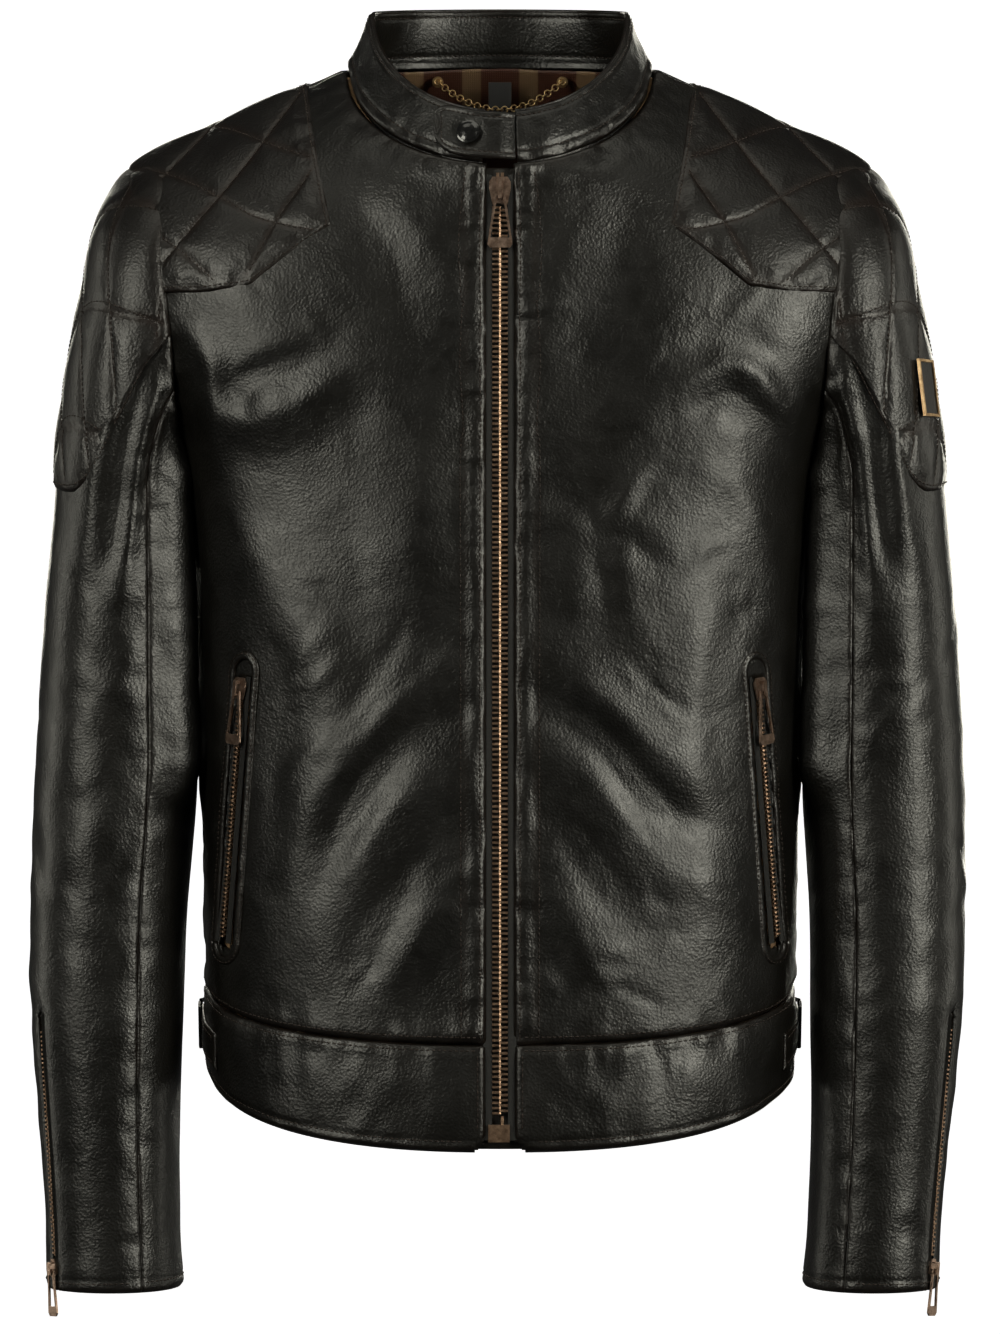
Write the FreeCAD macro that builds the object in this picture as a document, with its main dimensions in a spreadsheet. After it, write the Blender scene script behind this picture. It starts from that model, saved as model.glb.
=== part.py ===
"""Leather riding jacket with a band collar, quilted shoulders and metal zips, as a parametric FreeCAD document.

Frame: +X is the wearer's left, the front faces -Y, +Z is up, in millimetres. The origin is the hanger seat, the
point on the centre plane at the height of the two neck points, where the stem of a coat hanger comes out.
The leather follows two families of rings: level rings round the torso, and rings round each sleeve from the
armhole to the cuff. Every soft piece is a sheet of constant thickness laid at an offset from those surfaces.
Each zip has a frame of its own: x across the chain, y out of the garment, z along the chain to its closed end.
"""

import FreeCAD, Part
import Sketcher
import math
import os

from FreeCAD import Placement, Rotation, Vector

PARTS = "parts"
X_AXIS = Vector(1, 0, 0)
Y_AXIS = Vector(0, 1, 0)
Z_AXIS = Vector(0, 0, 1)
# Name of each side and the sign of its x.
SIDES = {"right": -1, "left": 1}

# ---------------------------------------------------------------- driving dimensions
DIMENSIONS = {
    "leather": 1.6,
    "lining": 0.7,
    "layer_gap": 0.8,
    "lining_depth": 4.7,
    "sleeve_lining_depth": 3.4,
    "seam_gap": 0.6,
    "patch_thick": 2.6,
    "front_edge": 8.0,
    "waist_level": 1.0,
    "facing_width": 46.0,
    # armhole: an ellipse in the side view
    "armhole_z": -147.0,
    "armhole_high": 93.0,
    "armhole_deep": 67.0,
    "armhole_gap": 1.2,
    "sleeve_lean": 4.2,
    # quilted yoke patch
    "yoke_neck_x": 115.0,
    "yoke_corner_x": 94.0,
    "yoke_armhole_x": 224.0,
    "yoke_clearance": 3.5,
    # collar
    "collar_gap_angle": 5.0,
    "collar_thick": 1.6,
    "tab_reach": 38.0,
    "tab_hinge_x": 9.0,
    "tab_thick": 2.2,
    # main zip
    "main_length": 560.0,
    "main_pitch": 3.0,
    "main_tooth": 9.0,
    "main_tape": 5.4,
    # pocket zips
    "pocket_length": 158.0,
    "pocket_pitch": 2.6,
    "pocket_tooth": 5.2,
    "pocket_tape": 4.6,
    "pocket_slot": 15.0,
    # cuff zips
    "cuff_length": 150.0,
    "cuff_pitch": 2.6,
    "cuff_tooth": 3.6,
    "cuff_tape": 2.0,
    "cuff_slot": 8.0,
    "cuff_angle": 34.0,
    "tooth_thick": 2.4,
    "tape_thick": 0.6,
    "tape_depth": 2.5,
    "pocket_depth": 0.6,
    # sliders and their pulls
    "main_slider_wide": 12.6,
    "main_slider_long": 15.5,
    "main_pull_long": 31.0,
    "main_pull_foot": 14.6,
    "pocket_slider_wide": 11.0,
    "pocket_slider_long": 12.5,
    "pocket_pull_long": 31.0,
    "pocket_pull_foot": 13.4,
    "cuff_slider_wide": 7.4,
    "cuff_slider_long": 10.5,
    "cuff_pull_long": 27.0,
    "cuff_pull_foot": 9.5,
    "slider_plate": 1.1,
    "slider_gap": 3.1,
    "bridge_wide": 2.2,
    "bridge_rise": 2.6,
    "bridge_bar": 1.0,
    "pull_thick": 1.2,
    "pull_arm": 1.3,
    "pull_bar": 3.4,
    # snap
    "snap_radius": 7.0,
    "snap_high": 3.0,
    # badge on the left sleeve
    "badge_wide": 19.0,
    "badge_high": 34.0,
    "badge_thick": 1.8,
    "badge_rim": 1.6,
    # waist straps
    "strap_gap": 0.9,
    "strap_thick": 2.4,
    "keeper_thick": 1.4,
    "buckle_high": 30.0,
    "buckle_long": 15.0,
    "buckle_bar": 2.2,
    "buckle_thick": 1.8,
    # hang chain
    "chain_half": 38.0,
    "chain_y": 50.0,
    "chain_z": 2.0,
    "chain_drop": 17.0,
    "link_radius": 1.9,
    "link_wire": 0.42,
}

# Torso rings from hem to neck seam: height at side, front centre and back centre, half width, depth to the
# front and to the back, and how square the ring is (2 is an ellipse).
TORSO_COLUMNS = ("zs", "zf", "zb", "wide", "front", "back", "square")
TORSO = [
    ("hem", -590, -635, -612, 175, 118.0, 106, 2.35),
    ("waist_seam", -541, -573, -556, 176, 115.3, 104, 2.35),
    ("waist", -470, -490, -480, 178, 111.5, 99, 2.35),
    ("rib", -380, -400, -392, 178.5, 107.4, 101, 2.40),
    ("chest", -295, -312, -300, 181.5, 103.4, 109, 2.60),
    ("underarm", -225, -247, -215, 190, 100.4, 115, 2.70),
    ("armpit", -155, -187, -135, 212, 97.7, 114, 3.00),
    ("shoulder_blade", -98, -142, -80, 227, 95.7, 107, 2.80),
    ("shoulder_tip", -59, -112, -40, 224, 94.3, 94, 2.20),
    ("mid_shoulder", -28, -88, -11, 164, 93.2, 80, 2.05),
    ("neck", 4, -62, 14, 92, 92.0, 64, 2.00),
]
TOP_LEVEL = len(TORSO) - 1

# Sleeve rings from the armhole to the cuff: centre, tilt of the ring from upright to level, half height
# (across the arm, inside to outside), half depth, and how far front and back bend back towards the torso.
SLEEVE_COLUMNS = ("x", "y", "z", "tilt", "high", "deep", "saddle")
SLEEVE = [
    ("head", 207, 0, -147, 10.4, 94.5, 67, -8),
    ("cap", 215.5, 0, -170.5, 17.7, 82.4, 67, -6),
    ("fold", 220.4, 0, -198, 27.5, 65.4, 66, -3),
    ("biceps", 224.4, 0, -227, 43.7, 51.2, 64, 0),
    ("arm", 226.5, 0, -267, 69.4, 42.6, 61, 0),
    ("above_elbow", 229, -2, -345, 90, 45.3, 57, 0),
    ("elbow", 230, -5, -425, 90, 48.5, 55, 0),
    ("forearm", 232.6, -10, -500, 90, 46.6, 52, 0),
    ("zip_top", 232.2, -15, -560, 90, 45.2, 50, 0),
    ("lower_arm", 230, -19, -620, 90, 42, 47, 0),
    ("wrist", 226.7, -23, -680, 90, 39.9, 45, 0),
    ("cuff", 224.5, -26, -722, 90, 40.5, 45, 0),
]
CUFF_LEVEL = len(SLEEVE) - 1

# Collar rings: the seam at the neck and the top edge, in the torso's columns.
COLLAR = [
    ("collar_seam", 4.6, -61.4, 14.6, 91.6, 91.6, 63.6, 2.0),
    ("collar_middle", 21.5, -46, 31.5, 82, 86.5, 60.0, 2.0),
    ("collar_top", 38, -29.5, 47, 77, 80.5, 57.5, 2.0),
]

# Lower edge of the quilted yoke patch in the front view: distance from the centre plane, height.
YOKE_FRONT_EDGE = [(94, -94), (126, -117), (146, -133), (170, -136), (214, -136)]
YOKE_BACK_EDGE = [(94, -76), (126, -98), (146, -112), (170, -116), (214, -116)]


def make_sheet(doc):
    """The spreadsheet with every driving dimension under its own alias."""
    sheet = doc.addObject("Spreadsheet::Sheet", "dims")
    rows = dict(DIMENSIONS)
    for table, columns in ((TORSO, TORSO_COLUMNS), (COLLAR, TORSO_COLUMNS), (SLEEVE, SLEEVE_COLUMNS)):
        for name, *values in table:
            rows.update({f"{name}_{c}": v for c, v in zip(columns, values)})
    for row, (alias, value) in enumerate(rows.items(), start=1):
        sheet.set(f"A{row}", alias)
        sheet.set(f"B{row}", str(value))
        sheet.setAlias(f"B{row}", alias)
    doc.recompute()
    return sheet


doc = FreeCAD.newDocument("riding_jacket")
sheet = make_sheet(doc)


def dim(alias):
    return float(sheet.get(alias))


# ---------------------------------------------------------------- the two families of rings
def rows_of(table, columns):
    return [[dim(f"{row[0]}_{c}") for c in columns] for row in table]


TORSO_ROWS = rows_of(TORSO, TORSO_COLUMNS)
COLLAR_ROWS = rows_of(COLLAR, TORSO_COLUMNS)
SLEEVE_ROWS = rows_of(SLEEVE, SLEEVE_COLUMNS)


def between_rows(rows, level):
    """The ring at a level between the table's rows, by a Catmull-Rom curve through each column."""
    last = len(rows) - 1
    level = min(max(level, 0.0), float(last))
    i = min(int(level), last - 1)
    t = level - i
    ring = []
    for k in range(len(rows[0])):
        p1, p2 = rows[i][k], rows[i + 1][k]
        p0 = rows[i - 1][k] if i > 0 else 2 * p1 - p2
        p3 = rows[i + 2][k] if i + 2 <= last else 2 * p2 - p1
        ring.append(
            p1
            + 0.5 * t * (p2 - p0 + t * (2 * p0 - 5 * p1 + 4 * p2 - p3 + t * (3 * (p1 - p2) + p3 - p0)))
        )
    return ring


def ring_point(rows, angle, level):
    """The point of a torso or collar ring at an angle from the front centre, in degrees, positive to +X."""
    side_z, front_z, back_z, wide, front, back, square = between_rows(rows, level)
    s, c = math.sin(math.radians(angle)), math.cos(math.radians(angle))
    k = (abs(s) ** square + abs(c) ** square) ** (-1.0 / square)
    depth, centre_z = (front, front_z) if c > 0 else (back, back_z)
    return Vector(wide * s * k, -depth * c * k, side_z + (centre_z - side_z) * abs(c) * k)


def torso_point(angle, level):
    return ring_point(TORSO_ROWS, angle, level)


def collar_point(angle, level):
    return ring_point(COLLAR_ROWS, angle, level)


def torso_level_at(y, z):
    """The level of the torso ring whose plane passes through y, z."""
    low, high = 0.0, float(TOP_LEVEL)
    for _ in range(40):
        middle = (low + high) / 2
        side_z, front_z, back_z, _, front, back, _ = between_rows(TORSO_ROWS, middle)
        share = -y / front if y < 0 else y / back
        plane_z = side_z + ((front_z if y < 0 else back_z) - side_z) * share
        low, high = (middle, high) if plane_z < z else (low, middle)
    return (low + high) / 2


def torso_at_x(x, level, back_side):
    """The torso point of a level at a distance x from the centre plane, on the front or the back."""
    side_z, front_z, back_z, wide, front, back, square = between_rows(TORSO_ROWS, level)
    share = max(0.0, 1 - min(1.0, abs(x) / wide) ** square) ** (1.0 / square)
    if back_side:
        return Vector(x, back * share, side_z + (back_z - side_z) * share)
    return Vector(x, -front * share, side_z + (front_z - side_z) * share)


def ridge_level(x):
    """The level at which the shoulder ridge is x away from the centre plane."""
    low, high = float(TOP_LEVEL - 2), float(TOP_LEVEL)
    for _ in range(40):
        middle = (low + high) / 2
        low, high = (middle, high) if between_rows(TORSO_ROWS, middle)[3] > x else (low, middle)
    return (low + high) / 2


def level_at_height(x, z, back_side):
    """The level at which the front or back surface at x has the height z."""
    low, high = 4.0, ridge_level(x)
    for _ in range(40):
        middle = (low + high) / 2
        low, high = (middle, high) if torso_at_x(x, middle, back_side).z < z else (low, middle)
    return (low + high) / 2


def sleeve_point(angle, level, side):
    """The point of a sleeve ring. Angle 0 is the outside of the arm, 90 the front, 180 the underarm."""
    x, y, z, tilt, high, deep, saddle = between_rows(SLEEVE_ROWS, level)
    t, s, c = math.radians(tilt), math.sin(math.radians(angle)), math.cos(math.radians(angle))
    k = (abs(s) ** 2.15 + abs(c) ** 2.15) ** (-1 / 2.15)
    bend = saddle * s * s
    lean = -side * dim("sleeve_lean") * max(0.0, (-z - 400.0) / 320.0)
    out_x = x + high * c * k * math.sin(t) + bend * math.cos(t) + lean
    return Vector(side * out_x, y - deep * s * k, z + high * c * k * math.cos(t) - bend * math.sin(t))


def normal_of(surface, u, v, du=0.05, dv=0.01):
    """Unit normal of surface(u, v), by differences that stay clear of the surface's ends."""
    across = surface(u + du, v) - surface(u - du, v)
    along = surface(u, v + dv) - surface(u, v - dv)
    n = across.cross(along)
    n.normalize()
    return n


# ---------------------------------------------------------------- thick sheets
def face_through(points):
    surface = Part.BSplineSurface()
    surface.interpolate(points)
    return surface


def thick_sheet(surface, outward, low, high, across, along):
    """A closed solid between the offsets low and high of surface(s, t), with s and t from 0 to 1.

    outward is +1 or -1, whichever turns the surface's normal out of the garment."""
    grids = []
    for offset in (low, high):
        rows = []
        for i in range(across):
            s = i / (across - 1)
            row = []
            for j in range(along):
                t = j / (along - 1)
                inner_s = min(max(s, 0.004), 0.996)
                inner_t = min(max(t, 0.004), 0.996)
                n = normal_of(surface, inner_s, inner_t, 0.004, 0.004) * outward
                row.append(surface(s, t) + n * offset)
            rows.append(row)
        grids.append(rows)
    lower, upper = (face_through(g) for g in grids)
    u0, u1, v0, v1 = lower.bounds()
    a0, a1, b0, b1 = upper.bounds()
    faces = [lower.toShape(), upper.toShape()]
    for first, second in (
        (lower.uIso(u0), upper.uIso(a0)),
        (lower.uIso(u1), upper.uIso(a1)),
        (lower.vIso(v0), upper.vIso(b0)),
        (lower.vIso(v1), upper.vIso(b1)),
    ):
        faces.append(first.makeRuledSurface(second).toShape())
    shell = Part.makeShell(faces)
    shell.sewShape()
    solid = Part.makeSolid(shell)
    middle = surface(0.5, 0.5) + normal_of(surface, 0.5, 0.5, 0.004, 0.004) * outward * (low + high) / 2
    if not solid.isInside(middle, 0.01, False):
        solid.reverse()
    return solid


def add_shape(label, shape, placement=None):
    """A sub-part whose shape is made by Part's own functions."""
    piece = doc.addObject("Part::Feature", label)
    piece.Label = label
    piece.Shape = shape
    if placement is not None:
        piece.Placement = placement
    SUBPARTS.append(piece)
    return piece


SUBPARTS = []


# ---------------------------------------------------------------- torso leather
def edge_angle(level, x):
    """The angle at which the front of a ring is x away from the centre plane."""
    return math.degrees(math.asin(x / between_rows(TORSO_ROWS, level)[3]))


def band(side, low_level, high_level, inner_x, outer_angle):
    """A surface on one front half, from x = inner_x to outer_angle, between two levels."""

    def surface(s, t):
        level = low_level + (high_level - low_level) * t
        start = edge_angle(level, inner_x)
        return torso_point(side * (start + (outer_angle - start) * s), level)

    return surface


def armhole_prism(side, grow=0.0):
    """The solid that cuts an armhole: an ellipse in the side view, run through the side of the torso."""
    ellipse = Part.Ellipse(
        Vector(0, 0, 0), dim("armhole_high") + grow, dim("armhole_deep") + grow
    ).toShape()
    face = Part.Face(Part.Wire(ellipse))
    prism = face.extrude(Vector(0, 0, 120))
    prism.Placement = Placement(Vector(0, 0, 0), Rotation(Vector(0, 0, 1), Vector(0, -1, 0), Vector(1, 0, 0), "XYZ"))
    prism = prism.translated(Vector(side * 140 if side > 0 else -260, 0, dim("armhole_z")))
    return prism


def side_gap_angle():
    return math.degrees(dim("seam_gap") / 110)


def front_panel(side):
    waist = dim("waist_level")
    surface = band(side, waist + 0.006, TOP_LEVEL, dim("front_edge"), 90 - side_gap_angle())
    solid = thick_sheet(surface, side, -dim("leather"), 0, 22, 34)
    slot = slot_prism(pocket_zip_place(side), dim("pocket_slot"), dim("pocket_length") + 12)
    return solid.cut(armhole_prism(side)).cut(slot)


def back_panel():
    waist = dim("waist_level")
    gap = side_gap_angle()

    def surface(s, t):
        level = waist + 0.006 + (TOP_LEVEL - waist - 0.006) * t
        return torso_point(90 + gap + (180 - 2 * gap) * s, level)

    solid = thick_sheet(surface, 1, -dim("leather"), 0, 34, 34)
    return solid.cut(armhole_prism(1)).cut(armhole_prism(-1))


def waistband_front(side):
    surface = band(side, 0, dim("waist_level") - 0.006, dim("front_edge") + 0.5, 90 - side_gap_angle())
    return thick_sheet(surface, side, -dim("leather"), 0.4, 16, 6)


def waistband_back():
    gap = side_gap_angle()

    def surface(s, t):
        return torso_point(90 + gap + (180 - 2 * gap) * s, (dim("waist_level") - 0.006) * t)

    return thick_sheet(surface, 1, -dim("leather"), 0.4, 30, 6)


def front_facing(side):
    """The leather strip inside the front edge, behind the zip tape."""

    def surface(s, t):
        level = 0.03 + (TOP_LEVEL - 0.1) * t
        start = edge_angle(level, dim("front_edge") + 1)
        end = edge_angle(level, dim("facing_width"))
        return torso_point(side * (start + (end - start) * s), level)

    depth = dim("lining_depth")
    return thick_sheet(surface, side, -depth - 1.2, -depth, 8, 30)


def body_lining():
    """The lining: two fronts and a back, hung inside the leather."""
    depth = dim("lining_depth")
    low, high = 0.12, TOP_LEVEL - 0.06
    pieces = []
    for side in SIDES.values():

        def surface(s, t, side=side):
            level = low + (high - low) * t
            start = edge_angle(level, dim("facing_width") + 1.5)
            return torso_point(side * (start + (89 - start) * s), level)

        front = thick_sheet(surface, side, -depth - dim("lining"), -depth, 16, 28)
        pieces.append(front.cut(armhole_prism(side, 1.0)))

    def back_surface(s, t):
        return torso_point(91 + 178 * s, low + (high - low) * t)

    back = thick_sheet(back_surface, 1, -depth - dim("lining"), -depth, 28, 28)
    pieces.append(back.cut(armhole_prism(1, 1.0)).cut(armhole_prism(-1, 1.0)))
    return Part.makeCompound([s for p in pieces for s in p.Solids])


def polyline_at(points, x):
    """Height of a polyline of (distance, height) points at a distance x."""
    if x <= points[0][0]:
        return points[0][1]
    for (x0, z0), (x1, z1) in zip(points, points[1:]):
        if x <= x1:
            return z0 + (z1 - z0) * (x - x0) / (x1 - x0)
    return points[-1][1]


def yoke_surface(side):
    """The quilted patch's surface: s from the neck edge to the armhole, t from front over the shoulder to back."""
    neck_x, corner_x = dim("yoke_neck_x"), dim("yoke_corner_x")
    armhole_x = dim("yoke_armhole_x")

    def surface(s, t):
        q = 2 * t - 1
        reach = abs(q)
        inner = neck_x + (corner_x - neck_x) * reach
        outer = armhole_x - 14.0 * reach ** 1.6
        x = inner + (outer - inner) * s
        back_side = q > 0
        edge = YOKE_BACK_EDGE if back_side else YOKE_FRONT_EDGE
        top = ridge_level(x)
        bottom = level_at_height(x, polyline_at(edge, x), back_side)
        point = torso_at_x(x, top - (top - bottom) * reach * reach, back_side)
        return Vector(side * point.x, point.y, point.z)

    return surface


def yoke_patch(side):
    low = dim("layer_gap")
    solid = thick_sheet(yoke_surface(side), side, low, low + dim("patch_thick"), 14, 41)
    return solid.cut(armhole_prism(side, dim("yoke_clearance")))


# ---------------------------------------------------------------- sleeves
def armhole_curve(angle, side):
    """The point of the torso's armhole edge at a sleeve angle."""
    s, c = math.sin(math.radians(angle)), math.cos(math.radians(angle))
    y = -dim("armhole_deep") * s
    z = dim("armhole_z") + dim("armhole_high") * c
    level = torso_level_at(y, z)
    _, _, _, wide, front, back, square = between_rows(TORSO_ROWS, level)
    share = abs(y) / (front if y < 0 else back)
    x = wide * max(0.0, 1 - share**square) ** (1 / square)
    return Vector(side * (x + dim("armhole_gap")), y, z)


def sleeve_surface(side, first, last, end_level=CUFF_LEVEL, start_level=0.0):
    """The sleeve between two angles, from the armhole edge down to end_level."""

    def surface(s, t):
        angle = first + (last - first) * s
        level = start_level + (end_level - start_level) * t
        point = sleeve_point(angle, level, side)
        if level >= 1:
            return point
        ease = (1 - level) ** 2
        return point + (armhole_curve(angle, side) - sleeve_point(angle, 0, side)) * ease

    return surface


# Sleeve angles of the two long seams.
FRONT_SEAM = 118
BACK_SEAM = -118


def outer_sleeve(side):
    surface = sleeve_surface(side, BACK_SEAM, FRONT_SEAM)
    solid = thick_sheet(surface, side, -dim("leather"), 0, 24, 30)
    return solid.cut(slot_prism(cuff_zip_place(side), dim("cuff_slot"), dim("cuff_length") + 12, 10))


def under_sleeve(side):
    gap = 0.7
    surface = sleeve_surface(side, FRONT_SEAM + gap, 360 + BACK_SEAM - gap)
    return thick_sheet(surface, side, -dim("leather"), 0, 16, 30)


def sleeve_lining(side):
    depth = dim("sleeve_lining_depth")
    solids = []
    for first, last in ((BACK_SEAM, FRONT_SEAM), (FRONT_SEAM + 1, 360 + BACK_SEAM - 1)):
        surface = sleeve_surface(side, first, last, CUFF_LEVEL - 0.25, 0.12)
        solids += thick_sheet(surface, side, -depth - dim("lining"), -depth, 20, 26).Solids
    cut = slot_prism(cuff_zip_place(side), dim("cuff_slot") + 2, dim("cuff_length") + 14, 14)
    return Part.makeCompound([s for solid in solids for s in solid.cut(cut).Solids])


def sleeve_patch_edge(angle):
    """How far down the sleeve, in levels, the quilted patch reaches at an angle."""
    share = min(1.0, abs(angle) / 100.0)
    return 0.05 + 3.9 * (1 - share**5)


def sleeve_patch(side):
    base = sleeve_surface(side, 0, 1)

    def surface(s, t):
        angle = -98 + 196 * s
        level = 0.03 + (sleeve_patch_edge(angle) - 0.03) * t
        return base(angle, level / CUFF_LEVEL)

    low = dim("layer_gap")
    return thick_sheet(surface, side, low, low + dim("patch_thick"), 33, 16)


# ---------------------------------------------------------------- zips
def zip_place(bottom, top, outward):
    """The placement of a zip whose chain runs from bottom to top: z along, y out of the garment."""
    along = (top - bottom).normalize()
    out = outward - along * outward.dot(along)
    out.normalize()
    across = out.cross(along)
    return Placement(bottom, Rotation(across, out, along, "ZXY"))


def main_zip_place():
    bottom = torso_point(0, 0) + Vector(0, 0, 7)
    top = torso_point(0, TOP_LEVEL)
    depth = Vector(0, dim("tape_depth"), 0)
    return zip_place(bottom + depth, top + depth, Vector(0, -1, 0))


POCKET_LOW = (-517.0, 163.5)
POCKET_HIGH = (-361.0, 151.0)


def on_front(x, z, side):
    """The point of the front surface at x and z."""
    low, high = 0.0, 8.0
    for _ in range(40):
        middle = (low + high) / 2
        low, high = (middle, high) if torso_at_x(x, middle, False).z < z else (low, middle)
    point = torso_at_x(x, (low + high) / 2, False)
    return Vector(side * point.x, point.y, point.z)


def front_normal(x, z, side):
    across = on_front(x + 1, z, side) - on_front(x - 1, z, side)
    along = on_front(x, z + 1, side) - on_front(x, z - 1, side)
    n = across.cross(along)
    n.normalize()
    return n if n.y < 0 else n * -1


def pocket_zip_place(side):
    (z0, x0), (z1, x1) = POCKET_LOW, POCKET_HIGH
    out = front_normal((x0 + x1) / 2, (z0 + z1) / 2, side)
    depth = out * dim("pocket_depth")
    return zip_place(on_front(x0, z0, side) - depth, on_front(x1, z1, side) - depth, out)


def cuff_zip_place(side):
    """The cuff zip closes downwards, so its closed end is at the cuff."""
    base = sleeve_surface(side, 0, 1)
    angle = dim("cuff_angle")
    top = base(angle, 8.1 / CUFF_LEVEL)
    bottom = base(angle, 10.84 / CUFF_LEVEL)
    centre = base(180, 9.5 / CUFF_LEVEL) + (base(0, 9.5 / CUFF_LEVEL) - base(180, 9.5 / CUFF_LEVEL)) * 0.5
    middle = (top + bottom) * 0.5
    out = Vector(middle.x - centre.x, middle.y - centre.y, 0)
    out.normalize()
    depth = out * dim("tape_depth")
    return zip_place(top - depth, bottom - depth, out)


def slot_prism(place, width, length, beyond=0.0):
    """The box that cuts a zip's slot out of the leather, from beyond its open end past its closed end."""
    box = Part.makeBox(width, 40, length + beyond, Vector(-width / 2, -20, -6))
    box.Placement = place
    return box


def zip_axes(place):
    rotation = place.Rotation
    return rotation.multVec(X_AXIS), rotation.multVec(Y_AXIS), rotation.multVec(Z_AXIS)


# ---------------------------------------------------------------- objects bound to the sheet
def bind(target, **expressions):
    """Binds properties to expressions; __ stands for the dot of a sub-property."""
    for name, expression in expressions.items():
        target.setExpression(name.replace("__", "."), str(expression))
    return target


def named(piece, label, placement):
    piece.Label = label
    piece.Placement = placement
    SUBPARTS.append(piece)
    return piece


def box(name, length, width, height, x, y, z):
    """A Part::Box bound to the sheet, from its low corner."""
    piece = doc.addObject("Part::Box", name)
    bind(piece, Length=length, Width=width, Height=height)
    bind(piece, Placement__Base__x=x, Placement__Base__y=y, Placement__Base__z=z)
    return piece


def rod(name, radius, height, base, axis=Z_AXIS):
    """A Part::Cylinder bound to the sheet."""
    piece = doc.addObject("Part::Cylinder", name)
    bind(piece, Radius=radius, Height=height)
    piece.Placement = Placement(base, Rotation(Z_AXIS, axis))
    return piece


def fuse(name, pieces):
    fused = doc.addObject("Part::MultiFuse", name)
    fused.Shapes = pieces
    return fused


def cut(name, base, tool):
    result = doc.addObject("Part::Cut", name)
    result.Base = base
    result.Tool = tool
    return result


def origin_plane(body, role):
    return next(f for f in body.Origin.OriginFeatures if f.Role == role)


def outline_sketch(body, name, loops, start):
    """A sketch in the x, z plane at y = start, of closed loops whose corners are bound to the sheet."""
    sketch = body.newObject("Sketcher::SketchObject", name)
    sketch.AttachmentSupport = [(origin_plane(body, "XZ_Plane"), "")]
    sketch.MapMode = "FlatFace"
    bind(sketch, AttachmentOffset__Base__z=f"-({start})")
    for corners in loops:
        first = sketch.GeometryCount
        numbers = [[evaluate(e) for e in corner] for corner in corners]
        for i, here in enumerate(numbers):
            there = numbers[(i + 1) % len(numbers)]
            sketch.addGeometry(Part.LineSegment(Vector(*here, 0), Vector(*there, 0)), False)
        for i, corner in enumerate(corners):
            at = first + i
            before = first + (i - 1) % len(corners)
            sketch.addConstraint(Sketcher.Constraint("Coincident", before, 2, at, 1))
            for kind, value, expression in zip(("DistanceX", "DistanceY"), numbers[i], corner):
                index = sketch.addConstraint(Sketcher.Constraint(kind, -1, 1, at, 1, value))
                sketch.setExpression(f"Constraints[{index}]", str(expression))
    return sketch


def evaluate(expression):
    """The number that an expression on the sheet stands for."""
    value = sheet.evalExpression(str(expression).replace("dims.", ""))
    return float(value)


def pad(body, name, loops, low, high):
    """Adds a plate to a body: the loops in x, z, between y = low and y = high."""
    sketch = outline_sketch(body, f"{name}_outline", loops, high)
    feature = body.newObject("PartDesign::Pad", name)
    feature.Profile = sketch
    bind(feature, Length=f"({high}) - ({low})")
    body.Tip = feature
    return feature


def rectangle(half_width, low, high):
    return [
        (f"-({half_width})", low),
        (half_width, low),
        (half_width, high),
        (f"-({half_width})", high),
    ]


def new_body(label, placement):
    body = doc.addObject("PartDesign::Body", label)
    return named(body, label, placement)


def make_slider(label, kind, placement):
    """A zip slider: two plates joined by a neck, a flange on each side, and a bridge for the pull."""
    wide, long = f"dims.{kind}_slider_wide", f"dims.{kind}_slider_long"
    half_gap, plate = "dims.slider_gap / 2", "dims.slider_plate"
    shape = [
        (f"-{wide} / 2 + 1.8", "0"),
        (f"{wide} / 2 - 1.8", "0"),
        (f"{wide} / 2", f"{long} * 0.55"),
        (f"{wide} / 2", f"{long} * 0.8"),
        (f"{wide} / 2 - 2", long),
        (f"-{wide} / 2 + 2", long),
        (f"-{wide} / 2", f"{long} * 0.8"),
        (f"-{wide} / 2", f"{long} * 0.55"),
    ]
    body = new_body(label, placement)
    pad(body, f"{label}_back", [shape], f"-({half_gap} + {plate})", f"-{half_gap}")
    pad(body, f"{label}_neck", [rectangle("1.3", f"{long} - 3.5", long)], f"-{half_gap}", half_gap)
    pad(body, f"{label}_front", [shape], half_gap, f"{half_gap} + {plate}")
    low = f"{half_gap} + {plate}"
    high = f"{low} + dims.bridge_rise"
    top = f"{high} + dims.bridge_bar"
    half = "dims.bridge_wide / 2"
    pad(body, f"{label}_foot", [rectangle(half, f"{long} * 0.16", f"{long} * 0.24")], low, high)
    pad(body, f"{label}_head", [rectangle(half, f"{long} * 0.72", f"{long} * 0.86")], low, high)
    pad(body, f"{label}_bridge", [rectangle(half, f"{long} * 0.16", f"{long} * 0.86")], high, top)
    return body


def pull_hinge(kind):
    """Where the pull's bar lies in the slider's frame: y and z."""
    low = dim("slider_gap") / 2 + dim("slider_plate")
    return low + dim("bridge_rise") / 2, dim(f"{kind}_slider_long") * 0.24 + 1.15


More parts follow.
